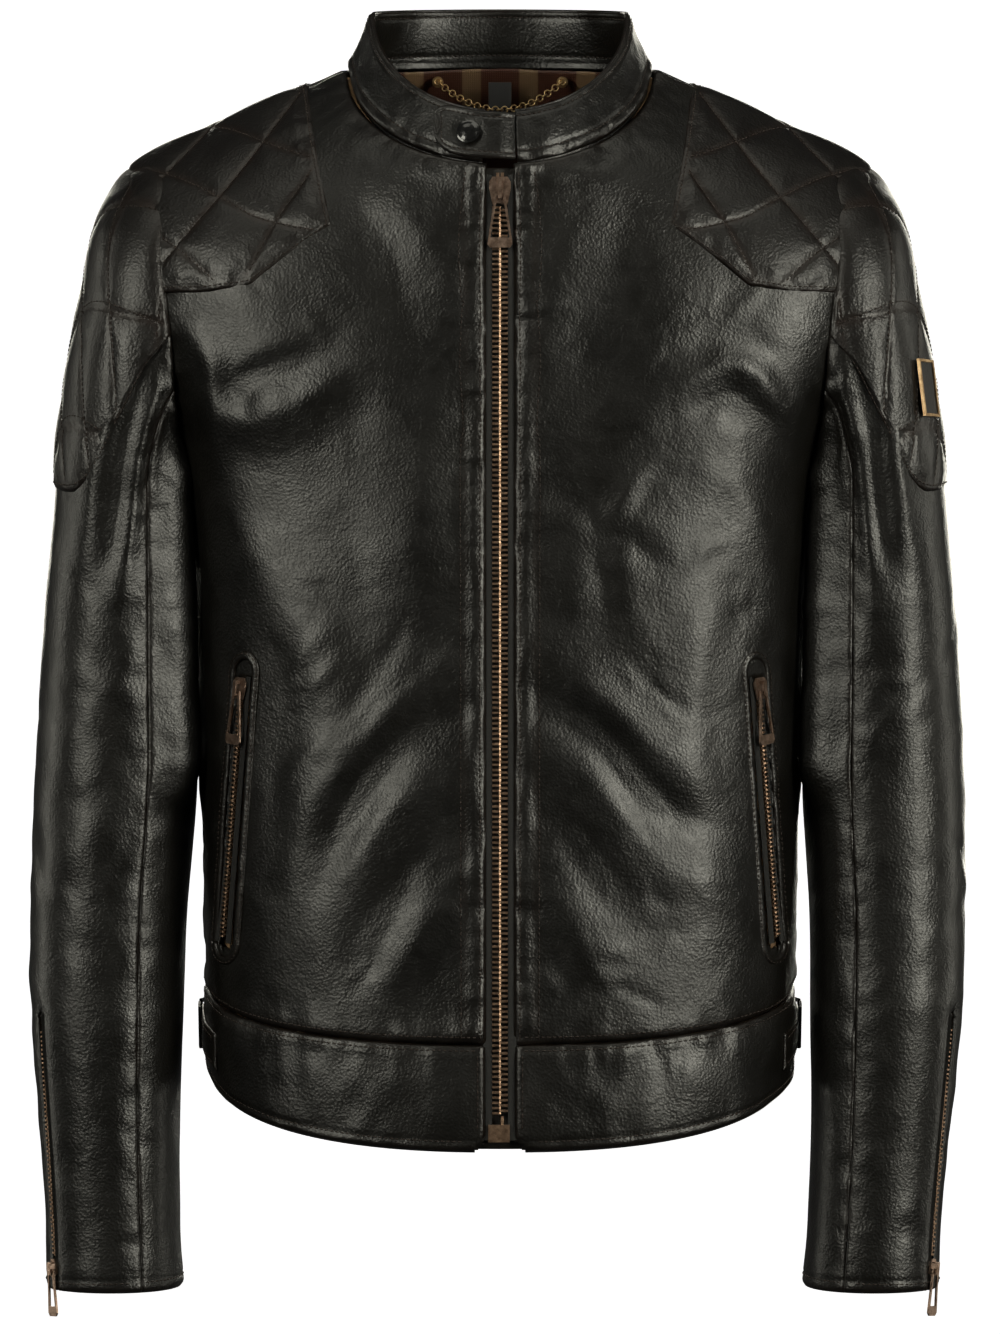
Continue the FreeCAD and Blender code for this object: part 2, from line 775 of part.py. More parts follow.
def make_pull(label, kind, placement):
    """A pull: a bar under the bridge, two arms that spread, a window and a solid foot."""
    arm, half_bar = "dims.pull_arm", "dims.pull_thick / 2"
    long, foot = f"dims.{kind}_pull_long", f"dims.{kind}_pull_foot / 2"
    neck = "dims.bridge_wide / 2 + 0.5"
    outer = [
        (f"-({neck} + {arm})", half_bar),
        (f"-({foot})", f"-({long}) + 2"),
        (f"-({foot} - 1.5)", f"-({long})"),
        (f"{foot} - 1.5", f"-({long})"),
        (foot, f"-({long}) + 2"),
        (f"{neck} + {arm}", half_bar),
    ]
    window = [
        (f"-({neck})", f"-({half_bar})"),
        (f"-({foot} - {arm} - 0.4)", f"-({long}) + dims.pull_bar + 2.4"),
        (f"{foot} - {arm} - 0.4", f"-({long}) + dims.pull_bar + 2.4"),
        (neck, f"-({half_bar})"),
    ]
    body = new_body(label, placement)
    pad(body, f"{label}_frame", [outer, window], f"-({half_bar})", half_bar)
    return body


def teeth(kind, sides, first, last):
    """One row or both rows of a zip's teeth, in the zip's frame."""
    pitch, half = dim(f"{kind}_pitch"), dim(f"{kind}_tooth") / 2
    thick, deep = pitch * 0.43, dim("tooth_thick") / 2
    solids = []
    for side in sides:
        corners = [
            Vector(side * -0.55, -deep * 0.6, 0),
            Vector(side * 0.5, -deep, 0),
            Vector(side * half, -deep, 0),
            Vector(side * half, deep, 0),
            Vector(side * 0.5, deep, 0),
            Vector(side * -0.55, deep * 0.6, 0),
        ]
        face = Part.Face(Part.makePolygon(corners + corners[:1]))
        tooth = face.extrude(Vector(0, 0, thick))
        start = first + (pitch / 2 if side < 0 else 0)
        for i in range(int((last - start) / pitch)):
            solids.append(tooth.translated(Vector(0, 0, start + i * pitch)))
    return Part.makeCompound(solids)


def tape_strip(kind, side):
    """Low x and width of one side's tape, which starts at the teeth."""
    start = f"dims.{kind}_tooth / 2 + 0.1"
    width = f"dims.{kind}_tape"
    return (start if side > 0 else f"-({start} + {width})"), width


def make_tape(label, kind, side, placement):
    low, width = tape_strip(kind, side)
    length = f"dims.{kind}_length"
    corners = [(low, "0"), (f"{low} + {width}", "0"), (f"{low} + {width}", length), (low, length)]
    body = new_body(label, placement)
    pad(body, f"{label}_strip", [corners], "-dims.tape_thick / 2", "dims.tape_thick / 2")


def make_tapes(label, kind, placement):
    """Both tapes of a short zip."""
    strips = []
    for side in (-1, 1):
        low, width = tape_strip(kind, side)
        strips.append(
            box(f"{label}_{len(strips)}", width, "dims.tape_thick", f"dims.{kind}_length", low, "-dims.tape_thick / 2", "0")
        )
    named(fuse(label, strips), label, placement)


def moved(place, x, y, z):
    return place.multiply(Placement(Vector(x, y, z), Rotation()))


# ---------------------------------------------------------------- the sub-parts
def make_leather():
    for name, side in SIDES.items():
        add_shape(f"front_panel_{name}", front_panel(side))
        add_shape(f"yoke_patch_{name}", yoke_patch(side))
        add_shape(f"waistband_front_{name}", waistband_front(side))
        add_shape(f"pocket_welt_{name}", pocket_welt(side))
    add_shape("back_panel", back_panel())
    add_shape("waistband_back", waistband_back())
    add_shape("front_facings", Part.makeCompound([front_facing(side) for side in SIDES.values()]))
    add_shape("body_lining", body_lining())
    add_shape("pocket_bags", Part.makeCompound([pocket_bag(side) for side in SIDES.values()]))


def patch_of_front(side, low, high, angles, levels):
    def surface(s, t):
        level = levels[0] + (levels[1] - levels[0]) * t
        return torso_point(side * (angles[0] + (angles[1] - angles[0]) * s), level)

    return thick_sheet(surface, side, low, high, 14, 16)


def pocket_welt(side):
    """The stitched leather frame round the pocket zip."""
    place = pocket_zip_place(side)
    solid = patch_of_front(side, 0.3, 1.1, (48, 84), (1.02, 3.2))
    length = dim("pocket_length")
    outer = Part.makeBox(30, 30, length + 17, Vector(-15, -15, -9))
    outer.Placement = place
    slot = slot_prism(place, dim("pocket_slot"), length + 12)
    return solid.common(outer).cut(slot)


def pocket_bag(side):
    depth = dim("leather") + 0.5
    return patch_of_front(side, -depth - 1.2, -depth, (22, 52), (1.1, 2.9))


def make_sleeves():
    for name, side in SIDES.items():
        add_shape(f"sleeve_outer_{name}", outer_sleeve(side))
        add_shape(f"sleeve_under_{name}", under_sleeve(side))
        add_shape(f"sleeve_patch_{name}", sleeve_patch(side))
        add_shape(f"sleeve_lining_{name}", sleeve_lining(side))


def collar_band(low, high, end_angle, bottom, top):
    def surface(s, t):
        return collar_point(end_angle + (360 - 2 * end_angle) * s, bottom + (top - bottom) * t)

    return thick_sheet(surface, 1, low, high, 40, 7)


def tab_surface(s, t):
    """The collar's surface in front of the gap, from the hinge line to the tab's free end."""
    x = dim("tab_hinge_x") - (dim("tab_hinge_x") + dim("tab_reach")) * s
    level = 0.06 + 1.88 * t
    return collar_point(math.degrees(math.asin(x / between_rows(COLLAR_ROWS, level)[3])), level)


def tab_outline():
    """The tab's front view with its round free end, as a prism along y."""
    reach, hinge_x = dim("tab_reach"), dim("tab_hinge_x")
    low, high, round_end = -64.5, -31.5, 12.0
    shape = Part.makeBox(reach + hinge_x, 60, high - low, Vector(-reach, -120, low))
    edges = [e for e in shape.Edges if abs(e.tangentAt(e.FirstParameter).y) > 0.9]
    edges = [e for e in edges if e.CenterOfMass.x < 0]
    return shape.makeFillet(round_end, edges)


def snap_place(offset):
    """The placement of the snap: its z axis points out of the collar."""
    s = (dim("tab_hinge_x") + 18.0) / (dim("tab_hinge_x") + dim("tab_reach"))
    n = normal_of(tab_surface, s, 0.5, 0.004, 0.004) * -1
    return Placement(tab_surface(s, 0.5) + n * offset, Rotation(Z_AXIS, n))


def make_collar():
    thick = dim("collar_thick")
    end = dim("collar_gap_angle")
    add_shape("collar_outer", collar_band(-thick, 0, end + 1.6, 0.05, 2))
    add_shape("collar_facing", collar_band(-thick * 2 - 0.5, -thick - 0.5, end + 1.6, 0.05, 2))
    tab = thick_sheet(tab_surface, -1, 0.5, 0.5 + dim("tab_thick"), 14, 7).common(tab_outline())
    hole = Part.makeCylinder(3.3, 12)
    hole.Placement = snap_place(-3)
    add_shape("collar_tab", tab.cut(hole))
    make_snap()


def make_snap():
    """The snap: a hollow domed cap on the tab, and the stud on the collar that it closes over."""
    cap = doc.addObject("PartDesign::Body", "snap_cap")
    sketch = cap.newObject("Sketcher::SketchObject", "snap_cap_profile")
    sketch.AttachmentSupport = [(origin_plane(cap, "XZ_Plane"), "")]
    sketch.MapMode = "FlatFace"
    profile = [
        ("3.5", "0"),
        ("dims.snap_radius", "0"),
        ("dims.snap_radius", "dims.snap_high * 0.35"),
        ("dims.snap_radius * 0.86", "dims.snap_high * 0.45"),
        ("dims.snap_radius * 0.84", "dims.snap_high * 0.62"),
        ("dims.snap_radius * 0.6", "dims.snap_high * 0.9"),
        ("dims.snap_radius * 0.3", "dims.snap_high"),
        ("0", "dims.snap_high"),
        ("0", "dims.snap_high * 0.6"),
        ("3.5", "dims.snap_high * 0.6"),
    ]
    numbers = [[evaluate(e) for e in corner] for corner in profile]
    for here, there in zip(numbers, numbers[1:] + numbers[:1]):
        sketch.addGeometry(Part.LineSegment(Vector(*here, 0), Vector(*there, 0)), False)
    for i, corner in enumerate(profile):
        sketch.addConstraint(Sketcher.Constraint("Coincident", (i - 1) % len(profile), 2, i, 1))
        for kind, value, expression in zip(("DistanceX", "DistanceY"), numbers[i], corner):
            index = sketch.addConstraint(Sketcher.Constraint(kind, -1, 1, i, 1, value))
            sketch.setExpression(f"Constraints[{index}]", expression)
    turned = cap.newObject("PartDesign::Revolution", "snap_cap_turned")
    turned.Profile = sketch
    turned.ReferenceAxis = (sketch, ["V_Axis"])
    turned.Angle = 360
    cap.Tip = turned
    named(cap, "snap_cap", snap_place(0.5 + dim("tab_thick") + 0.05))
    stud = fuse("snap_stud", [rod("stud_plate", 4.4, 0.3, Vector(0, 0, 0.05)), rod("stud_post", 2.4, 3.0, Vector(0, 0, 0.2))])
    named(stud, "snap_stud", snap_place(0))


def zip_frame(kind, side):
    return {"pocket": pocket_zip_place, "cuff": cuff_zip_place}[kind](side)


def make_main_zip():
    place = main_zip_place()
    slider_z = dim("main_length") - dim("main_slider_long") - 1.5
    for name, side in SIDES.items():
        # The zip's frame has its x to the wearer's right.
        add_shape(f"main_zip_teeth_{name}", teeth("main", [-side], 15.0, slider_z + 0.6), place)
        make_tape(f"main_zip_tape_{name}", "main", -side, place)
    make_slider("main_slider", "main", moved(place, 0, 0, slider_z))
    y, z = pull_hinge("main")
    make_pull("main_pull", "main", moved(place, 0, y, slider_z + z))
    shell = box("box_shell", 12.4, 4.6, 10, -5.6, -2.3, -1)
    bore = box("box_bore", 3.2, 2.8, 11, -2.9, -1.4, 1.2)
    slit = box("box_slit", 13.0, 1.0, 12, -5.8, -0.5, 0)
    named(cut("main_zip_box", cut("box_hollow", shell, bore), slit), "main_zip_box", place)
    named(rod("main_zip_pin", 1.0, 12.4, Vector(0, 0, 0)), "main_zip_pin", moved(place, -1.3, 0, 1.5))
    stops = []
    for side in (-1, 1):
        x = 0.5 if side > 0 else -2.3
        stops.append(box(f"stop_{len(stops)}", 1.8, 2.2, 2.2, x, -1.1, "dims.main_length - 1.2"))
    named(fuse("main_zip_stops", stops), "main_zip_stops", place)


def make_side_zip(kind, name, side):
    place = {"pocket": pocket_zip_place, "cuff": cuff_zip_place}[kind](side)
    slider_z = dim(f"{kind}_length") - dim(f"{kind}_slider_long") - 1.0
    add_shape(f"{kind}_zip_teeth_{name}", teeth(kind, (-1, 1), 3.0, slider_z + 0.6), place)
    make_tapes(f"{kind}_zip_tape_{name}", kind, place)
    make_slider(f"{kind}_slider_{name}", kind, moved(place, 0, 0, slider_z))
    y, z = pull_hinge(kind)
    hang = moved(place, 0, y, slider_z + z)
    if kind == "cuff":
        z = dim("cuff_slider_long") * 0.72 - 1.15
        hang = moved(place, 0, y, slider_z + z).multiply(Placement(Vector(), Rotation(Y_AXIS, 180)))
    make_pull(f"{kind}_pull_{name}", kind, hang)


def around_waistband(side, low, high, angles, levels, lift=0.0):
    def surface(s, t):
        angle = side * (angles[0] + (angles[1] - angles[0]) * s)
        level = levels[0] + (levels[1] - levels[0]) * t + lift * s
        return torso_point(angle, level)

    return thick_sheet(surface, side, low, high, 20, 6)


def strap_frame(side, angle, level, lift):
    """A frame on the waistband: z up, y out of the garment."""
    point = torso_point(side * angle, level)
    before, after = torso_point(side * angle - 2, level), torso_point(side * angle + 2, level)
    across = (after - before).normalize()
    out = Vector(across.y, -across.x, 0).normalize()
    return Placement(point + out * lift, Rotation(out.cross(Z_AXIS), out, Z_AXIS, "ZYX"))


def make_straps():
    """Waist straps with a frame buckle and a leather keeper at each side of the waistband."""
    gap, thick = dim("strap_gap"), dim("strap_thick")
    keepers = []
    frames = []
    for name, side in SIDES.items():
        strap = around_waistband(side, gap, gap + thick, (66, 112), (0.3, 0.72))
        add_shape(f"side_strap_{name}", strap)
        low = gap + thick + 0.3
        keepers.append(around_waistband(side, low, low + dim("keeper_thick"), (84, 89), (0.26, 0.76)))
        frames.append(buckle(side, name))
    add_shape("strap_keepers", Part.makeCompound(keepers))
    named(fuse("strap_buckles", frames), "strap_buckles", Placement())


def buckle(side, name):
    """A rectangular frame buckle with its bar, over the strap."""
    long, high, bar = "dims.buckle_long", "dims.buckle_high", "dims.buckle_bar"
    rim = box(f"buckle_rim_{name}", long, "dims.buckle_thick", high, f"-{long} / 2", "0", f"-{high} / 2")
    window = box(
        f"buckle_window_{name}",
        f"{long} - 2 * {bar}",
        "dims.buckle_thick + 2",
        f"{high} - 2 * {bar}",
        f"-{long} / 2 + {bar}",
        "-1",
        f"-{high} / 2 + {bar}",
    )
    frame = cut(f"buckle_frame_{name}", rim, window)
    lift = dim("strap_gap") + dim("strap_thick") + 0.6
    frame.Placement = strap_frame(side, 100, 0.51, lift)
    return frame


def badge_place():
    """The badge's seat on the left sleeve: y out of the sleeve, z up."""
    base = sleeve_surface(1, 0, 1)
    angle, level = 44, 2.82
    point = base(angle, level / CUFF_LEVEL)
    n = normal_of(lambda u, v: base(u, v), angle, level / CUFF_LEVEL, 0.5, 0.004)
    up = Z_AXIS - n * Z_AXIS.dot(n)
    up.normalize()
    lift = dim("layer_gap") + dim("patch_thick") + 0.2
    return Placement(point + n * lift, Rotation(n.cross(up), n, up, "ZYX"))


def make_badge():
    """A plain metal frame with a dark leather plate."""
    wide, high, rim = "dims.badge_wide", "dims.badge_high", "dims.badge_rim"
    thick = "dims.badge_thick"
    place = badge_place()
    outside = box("badge_outside", wide, thick, high, f"-{wide} / 2", "0", f"-{high} / 2")
    opening = box(
        "badge_opening",
        f"{wide} - 2 * {rim}",
        f"{thick} + 2",
        f"{high} - 2 * {rim}",
        f"-{wide} / 2 + {rim}",
        "-1",
        f"-{high} / 2 + {rim}",
    )
    named(cut("badge_frame", outside, opening), "badge_frame", place)
    plate = box(
        "badge_plate_box",
        f"{wide} - 2 * {rim} - 0.4",
        f"{thick} - 0.8",
        f"{high} - 2 * {rim} - 0.4",
        f"-{wide} / 2 + {rim} + 0.2",
        "0",
        f"-{high} / 2 + {rim} + 0.2",
    )
    named(plate_at(plate, "badge_plate"), "badge_plate", place)


def plate_at(plate, name):
    """A box whose own offset is bound, wrapped so that it can be placed as a whole."""
    wrap = doc.addObject("Part::Compound", name)
    wrap.Links = [plate]
    return wrap


def make_neck_fittings():
    """The hang chain with its two anchors, and the blank neck label."""
    half, y, z = dim("chain_half"), dim("chain_y"), dim("chain_z")
    anchors = []
    for i, side in enumerate((-1, 1)):
        disc = rod(f"anchor_disc_{i}", 3.4, 1.2, Vector(side * half, y + 3.2, z), Y_AXIS)
        post = rod(f"anchor_post_{i}", 0.6, 4.2, Vector(side * half, y - 0.8, z), Y_AXIS)
        anchors += [disc, post]
    named(fuse("chain_anchors", anchors), "chain_anchors", Placement())
    add_shape("hang_chain", chain_links())
    label = new_body("neck_label", Placement(Vector(0, 0, 0), Rotation()))
    pad(label, "neck_label_cloth", [rectangle("7", "-16", "2")], "54.8", "55.4")


def chain_links():
    """Round links, each turned a quarter from the last, along a hanging curve between the anchors."""
    half, y, z, drop = (dim(f"chain_{n}") for n in ("half", "y", "z", "drop"))
    radius, wire = dim("link_radius"), dim("link_wire")
    top = z - 0.3

    def on_curve(share):
        x = -half + 2 * half * share
        return Vector(x, y, top - drop * (1 - (x / half) ** 2))

    count = 31
    fine = [on_curve(i / 400) for i in range(401)]
    lengths = [0.0]
    for a, b in zip(fine, fine[1:]):
        lengths.append(lengths[-1] + a.distanceToPoint(b))
    links = []
    for i in range(count):
        target = lengths[-1] * i / (count - 1)
        k = min(range(401), key=lambda n: abs(lengths[n] - target))
        ahead = fine[min(k + 1, 400)] - fine[max(k - 1, 0)]
        ahead.normalize()
        up = Y_AXIS if i % 2 == 0 else ahead.cross(Y_AXIS)
        link = Part.makeTorus(radius, wire)
        link.Placement = Placement(fine[k], Rotation(Z_AXIS, up))
        links.append(link)
    return Part.makeCompound(links)


# ---------------------------------------------------------------- build, check and write
def failed(piece):
    return any(state in ("Invalid", "Error") for state in piece.State)


def check_and_write():
    bad = [piece.Name for piece in doc.Objects if failed(piece)]
    if bad:
        raise RuntimeError(f"objects that did not build: {bad}")
    os.makedirs(PARTS, exist_ok=True)
    labels = [piece.Label for piece in SUBPARTS]
    if len(set(labels)) != len(labels) or len(labels) > 60:
        raise RuntimeError(f"{len(labels)} sub-parts, {len(set(labels))} names")
    for piece in SUBPARTS:
        if piece.Shape.isNull() or not piece.Shape.isValid() or not piece.Shape.Solids:
            raise RuntimeError(f"{piece.Label} has no valid solid")
        piece.Shape.exportStep(f"{PARTS}/{piece.Label}.step")
    print(f"{len(SUBPARTS)} sub-parts written")


make_leather()
make_sleeves()
make_collar()
make_main_zip()
for side_name, side_sign in SIDES.items():
    make_side_zip("pocket", side_name, side_sign)
    make_side_zip("cuff", side_name, side_sign)
make_straps()
make_badge()
make_neck_fittings()
doc.recompute()
check_and_write()
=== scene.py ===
import bpy
import math
import numpy as np
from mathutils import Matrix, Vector


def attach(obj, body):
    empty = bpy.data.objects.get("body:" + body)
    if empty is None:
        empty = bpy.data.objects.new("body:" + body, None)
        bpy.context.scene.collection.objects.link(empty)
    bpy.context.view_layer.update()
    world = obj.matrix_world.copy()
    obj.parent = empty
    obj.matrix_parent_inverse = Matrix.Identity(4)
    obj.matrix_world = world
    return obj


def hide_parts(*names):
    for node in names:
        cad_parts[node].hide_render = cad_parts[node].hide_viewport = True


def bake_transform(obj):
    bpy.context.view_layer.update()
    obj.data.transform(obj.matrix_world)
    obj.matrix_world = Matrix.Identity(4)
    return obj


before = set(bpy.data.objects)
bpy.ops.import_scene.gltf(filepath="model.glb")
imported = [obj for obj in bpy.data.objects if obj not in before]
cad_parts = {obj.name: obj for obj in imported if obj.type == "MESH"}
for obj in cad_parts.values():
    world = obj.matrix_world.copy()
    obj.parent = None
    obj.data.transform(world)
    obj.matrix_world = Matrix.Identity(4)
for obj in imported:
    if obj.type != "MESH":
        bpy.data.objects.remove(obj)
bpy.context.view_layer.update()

MM = 0.001
SIDES = (("right", -1), ("left", 1))

# Side, front and back heights, half width, front and back depth, squareness: from hem to neck seam.
TORSO = np.array([
    (-590, -635, -612, 175, 118.0, 106, 2.35),
    (-541, -573, -556, 176, 115.3, 104, 2.35),
    (-470, -490, -480, 178, 111.5, 99, 2.35),
    (-380, -400, -392, 178.5, 107.4, 101, 2.40),
    (-295, -312, -300, 181.5, 103.4, 109, 2.60),
    (-225, -247, -215, 190, 100.4, 115, 2.70),
    (-155, -187, -135, 212, 97.7, 114, 3.00),
    (-98, -142, -80, 227, 95.7, 107, 2.80),
    (-59, -112, -40, 224, 94.3, 94, 2.20),
    (-28, -88, -11, 164, 93.2, 80, 2.05),
    (4, -62, 14, 92, 92.0, 64, 2.00),
], float)
COLLAR = np.array([
    (4.6, -61.4, 14.6, 91.6, 91.6, 63.6, 2.0),
    (21.5, -46, 31.5, 82, 86.5, 60.0, 2.0),
    (38, -29.5, 47, 77, 80.5, 57.5, 2.0),
], float)
# Centre, tilt, half height, half depth and saddle: from armhole to cuff.
SLEEVE = np.array([
    (207, 0, -147, 10.4, 94.5, 67, -8),
    (215.5, 0, -170.5, 17.7, 82.4, 67, -6),
    (220.4, 0, -198, 27.5, 65.4, 66, -3),
    (224.4, 0, -227, 43.7, 51.2, 64, 0),
    (226.5, 0, -267, 69.4, 42.6, 61, 0),
    (229, -2, -345, 90, 45.3, 57, 0),
    (230, -5, -425, 90, 48.5, 55, 0),
    (232.6, -10, -500, 90, 46.6, 52, 0),
    (232.2, -15, -560, 90, 45.2, 50, 0),
    (230, -19, -620, 90, 42, 47, 0),
    (226.7, -23, -680, 90, 39.9, 45, 0),
    (224.5, -26, -722, 90, 40.5, 45, 0),
], float)
TOP, CUFF = len(TORSO) - 1.0, len(SLEEVE) - 1.0
ARM_Z, ARM_HIGH, ARM_DEEP, ARM_GAP = -147.0, 93.0, 67.0, 1.2
FRONT_SEAM, BACK_SEAM = 118.0, -118.0  # Of the sleeve.
SLEEVE_SQUARE = 2.15
LEAN, LEAN_FROM, LEAN_OVER = 4.2, 400, 320
SIDE_SEAM, BACK_START, BACK_SWEEP = 89.7, 90.3, 179.4
WAIST, WAIST_GAP = 1.0, 0.002  # The level of the waist seam.
FRONT_EDGE = 8.0
LINING_DEPTH = 4.9
ARM_SIDE = 140  # Beyond this x a point can lie in an armhole.
UNDERARM = (-455, -208)  # Heights between which the body fills out to meet the sleeve.
POCKET_LINE, POCKET_SLOT = ((161.6, -517), (150, -364)), 5.6  # The slot is half its width.
HEM_ROUND = 16
PATCH_HALF, PATCH_START = 98, 0.03
PATCH_MM, CUFF_MM = 1.08, 0.78  # Millimetres to a degree of the sleeve.
CUFF_LINE = ((34 * CUFF_MM, 562), (34 * CUFF_MM, 740))
# Angles of the quilting lines from the patch's long direction, and the distance between them.
YOKE_QUILT, SLEEVE_QUILT, QUILT_STEP = 47, 42, 48
YOKE_FRONT = ((94, -94), (126, -117), (146, -133), (170, -136), (214, -136))
YOKE_BACK = ((94, -76), (126, -98), (146, -112), (170, -116), (214, -116))


# ---- camera, light, room
ROOM = 6.0  # Half the side of the white room, in metres.


def look_at(obj, target):
    obj.rotation_euler = (Vector(target) - obj.location).to_track_quat("-Z", "Y").to_euler()


def make_camera():
    data = bpy.data.cameras.new("camera")
    data.sensor_fit = "VERTICAL"
    data.sensor_height = 36.0
    data.lens = 135.0
    data.dof.use_dof = False
    camera = bpy.data.objects.new("camera", data)
    camera.location = (0.0, -3.0, -0.355)
    camera.rotation_euler = (math.radians(90), 0, 0)
    bpy.context.scene.collection.objects.link(camera)
    bpy.context.scene.camera = camera


def soft_light(name, place, target, width, height, power, colour=(1, 0.975, 0.84)):
    data = bpy.data.lights.new(name, "AREA")
    data.shape = "RECTANGLE"
    data.size, data.size_y = width, height
    data.energy = power
    data.color = colour
    lamp = bpy.data.objects.new(name, data)
    lamp.location = place
    lamp.visible_camera = False
    bpy.context.scene.collection.objects.link(lamp)
    look_at(lamp, target)


def flat_piece(name, corners, material):
    mesh = bpy.data.meshes.new(name)
    mesh.from_pydata(corners, [], [(0, 1, 2, 3)])
    mesh.materials.append(material)
    obj = bpy.data.objects.new(name, mesh)
    bpy.context.scene.collection.objects.link(obj)
    return obj


def make_studio():
    world = bpy.data.worlds.new("studio")
    bpy.context.scene.world = world
    world.use_nodes = True
    background = world.node_tree.nodes["Background"]
    background.inputs["Color"].default_value = (1, 1, 1, 1)
    background.inputs["Strength"].default_value = 0.03
    bpy.context.scene.view_settings.view_transform = "Standard"
    white, _, shader = new_material("studio_white")
    shader.inputs["Base Color"].default_value = (0.9, 0.9, 0.9, 1)
    shader.inputs["Roughness"].default_value = 0.9
    shader.inputs["Emission Color"].default_value = (1, 1, 1, 1)
    shader.inputs["Emission Strength"].default_value = 1.0
    # A white room all around, so that every side of the jacket is seen on white. It is only
    # seen: the dark leather doesn't mirror it.
    corners = ((-ROOM, -ROOM), (ROOM, -ROOM), (ROOM, ROOM), (-ROOM, ROOM))
    for axis in range(3):
        for sign, side in ((-1, "low"), (1, "high")):
            wall_corners = [c[:axis] + (sign * ROOM,) + c[axis:] for c in corners]
            wall = flat_piece(f"studio_{'xyz'[axis]}_{side}", wall_corners, white)
            wall.visible_glossy = False
            wall.visible_diffuse = False
    middle = (0, 0, -0.32)
    soft_light("key_left", (-1.7, -1.9, 0.45), middle, 0.9, 1.7, 30)
    soft_light("key_right", (1.9, -1.8, 0.25), middle, 0.8, 1.7, 46)
    soft_light("overhead", (0.0, -0.5, 1.7), middle, 1.8, 1.0, 7)
    soft_light("edge_left", (-1.9, 0.5, -0.1), middle, 0.4, 1.8, 6)
    soft_light("edge_right", (1.9, 0.5, -0.1), middle, 0.4, 1.8, 6)
    soft_light("back_left", (-0.7, 2.5, 0.45), middle, 0.7, 1.6, 22)
    soft_light("back_right", (0.9, 2.4, 0.2), middle, 0.7, 1.6, 27)


# ---- materials
def new_material(name):
    material = bpy.data.materials.new(name)
    material.use_nodes = True
    tree = material.node_tree
    return material, tree, tree.nodes["Principled BSDF"]


class Nodes:
    """Short names for the shader nodes used below."""

    def __init__(self, tree):
        self.tree = tree
        self.place = self.add("ShaderNodeTexCoord").outputs["Object"]

    def add(self, kind, **values):
        node = self.tree.nodes.new(kind)
        for key, value in values.items():
            setattr(node, key, value)
        return node

    def link(self, a, b):
        self.tree.links.new(a, b)

    def noise(self, scale, detail=3.0, roughness=0.55, distortion=0.0):
        node = self.add("ShaderNodeTexNoise")
        self.link(self.place, node.inputs["Vector"])
        node.inputs["Scale"].default_value = scale
        node.inputs["Detail"].default_value = detail
        node.inputs["Roughness"].default_value = roughness
        node.inputs["Distortion"].default_value = distortion
        return node.outputs["Fac"]

    def cells(self, scale):
        node = self.add("ShaderNodeTexVoronoi", feature="F1")
        self.link(self.place, node.inputs["Vector"])
        node.inputs["Scale"].default_value = scale
        return node.outputs["Distance"]

    def wave(self, axis, scale, distortion=0.0):
        node = self.add("ShaderNodeTexWave", bands_direction=axis)
        self.link(self.place, node.inputs["Vector"])
        node.inputs["Scale"].default_value = scale
        node.inputs["Distortion"].default_value = distortion
        return node.outputs["Fac"]

    def ramp(self, value, *stops):
        node = self.add("ShaderNodeValToRGB")
        self.link(value, node.inputs["Fac"])
        ramp = node.color_ramp
        while len(ramp.elements) < len(stops):
            ramp.elements.new(0.5)
        for element, (at, colour) in zip(ramp.elements, stops):
            element.position = at
            element.color = (*colour, 1) if not isinstance(colour, float) else (colour, colour, colour, 1)
        return node.outputs["Color"]

    def math(self, operation, a, b):
        node = self.add("ShaderNodeMath", operation=operation)
        for socket, value in zip(node.inputs, (a, b)):
            if isinstance(value, (int, float)):
                socket.default_value = value
            else:
                self.link(value, socket)
        return node.outputs[0]

    def mix(self, share, a, b):
        node = self.add("ShaderNodeMix", data_type="RGBA")
        for socket, value in zip((node.inputs[0], node.inputs[6], node.inputs[7]), (share, a, b)):
            if isinstance(value, tuple):
                socket.default_value = (*value, 1)
            elif isinstance(value, float):
                socket.default_value = value
            else:
                self.link(value, socket)
        return node.outputs[2]

    def attribute(self, name):
        return self.add("ShaderNodeAttribute", attribute_name=name).outputs["Fac"]

    def bump(self, height, strength, distance, under=None):
        node = self.add("ShaderNodeBump")
        node.inputs["Strength"].default_value = strength
        node.inputs["Distance"].default_value = distance
        self.link(height, node.inputs["Height"])
        if under is not None:
            self.link(under, node.inputs["Normal"])
        return node.outputs["Normal"]


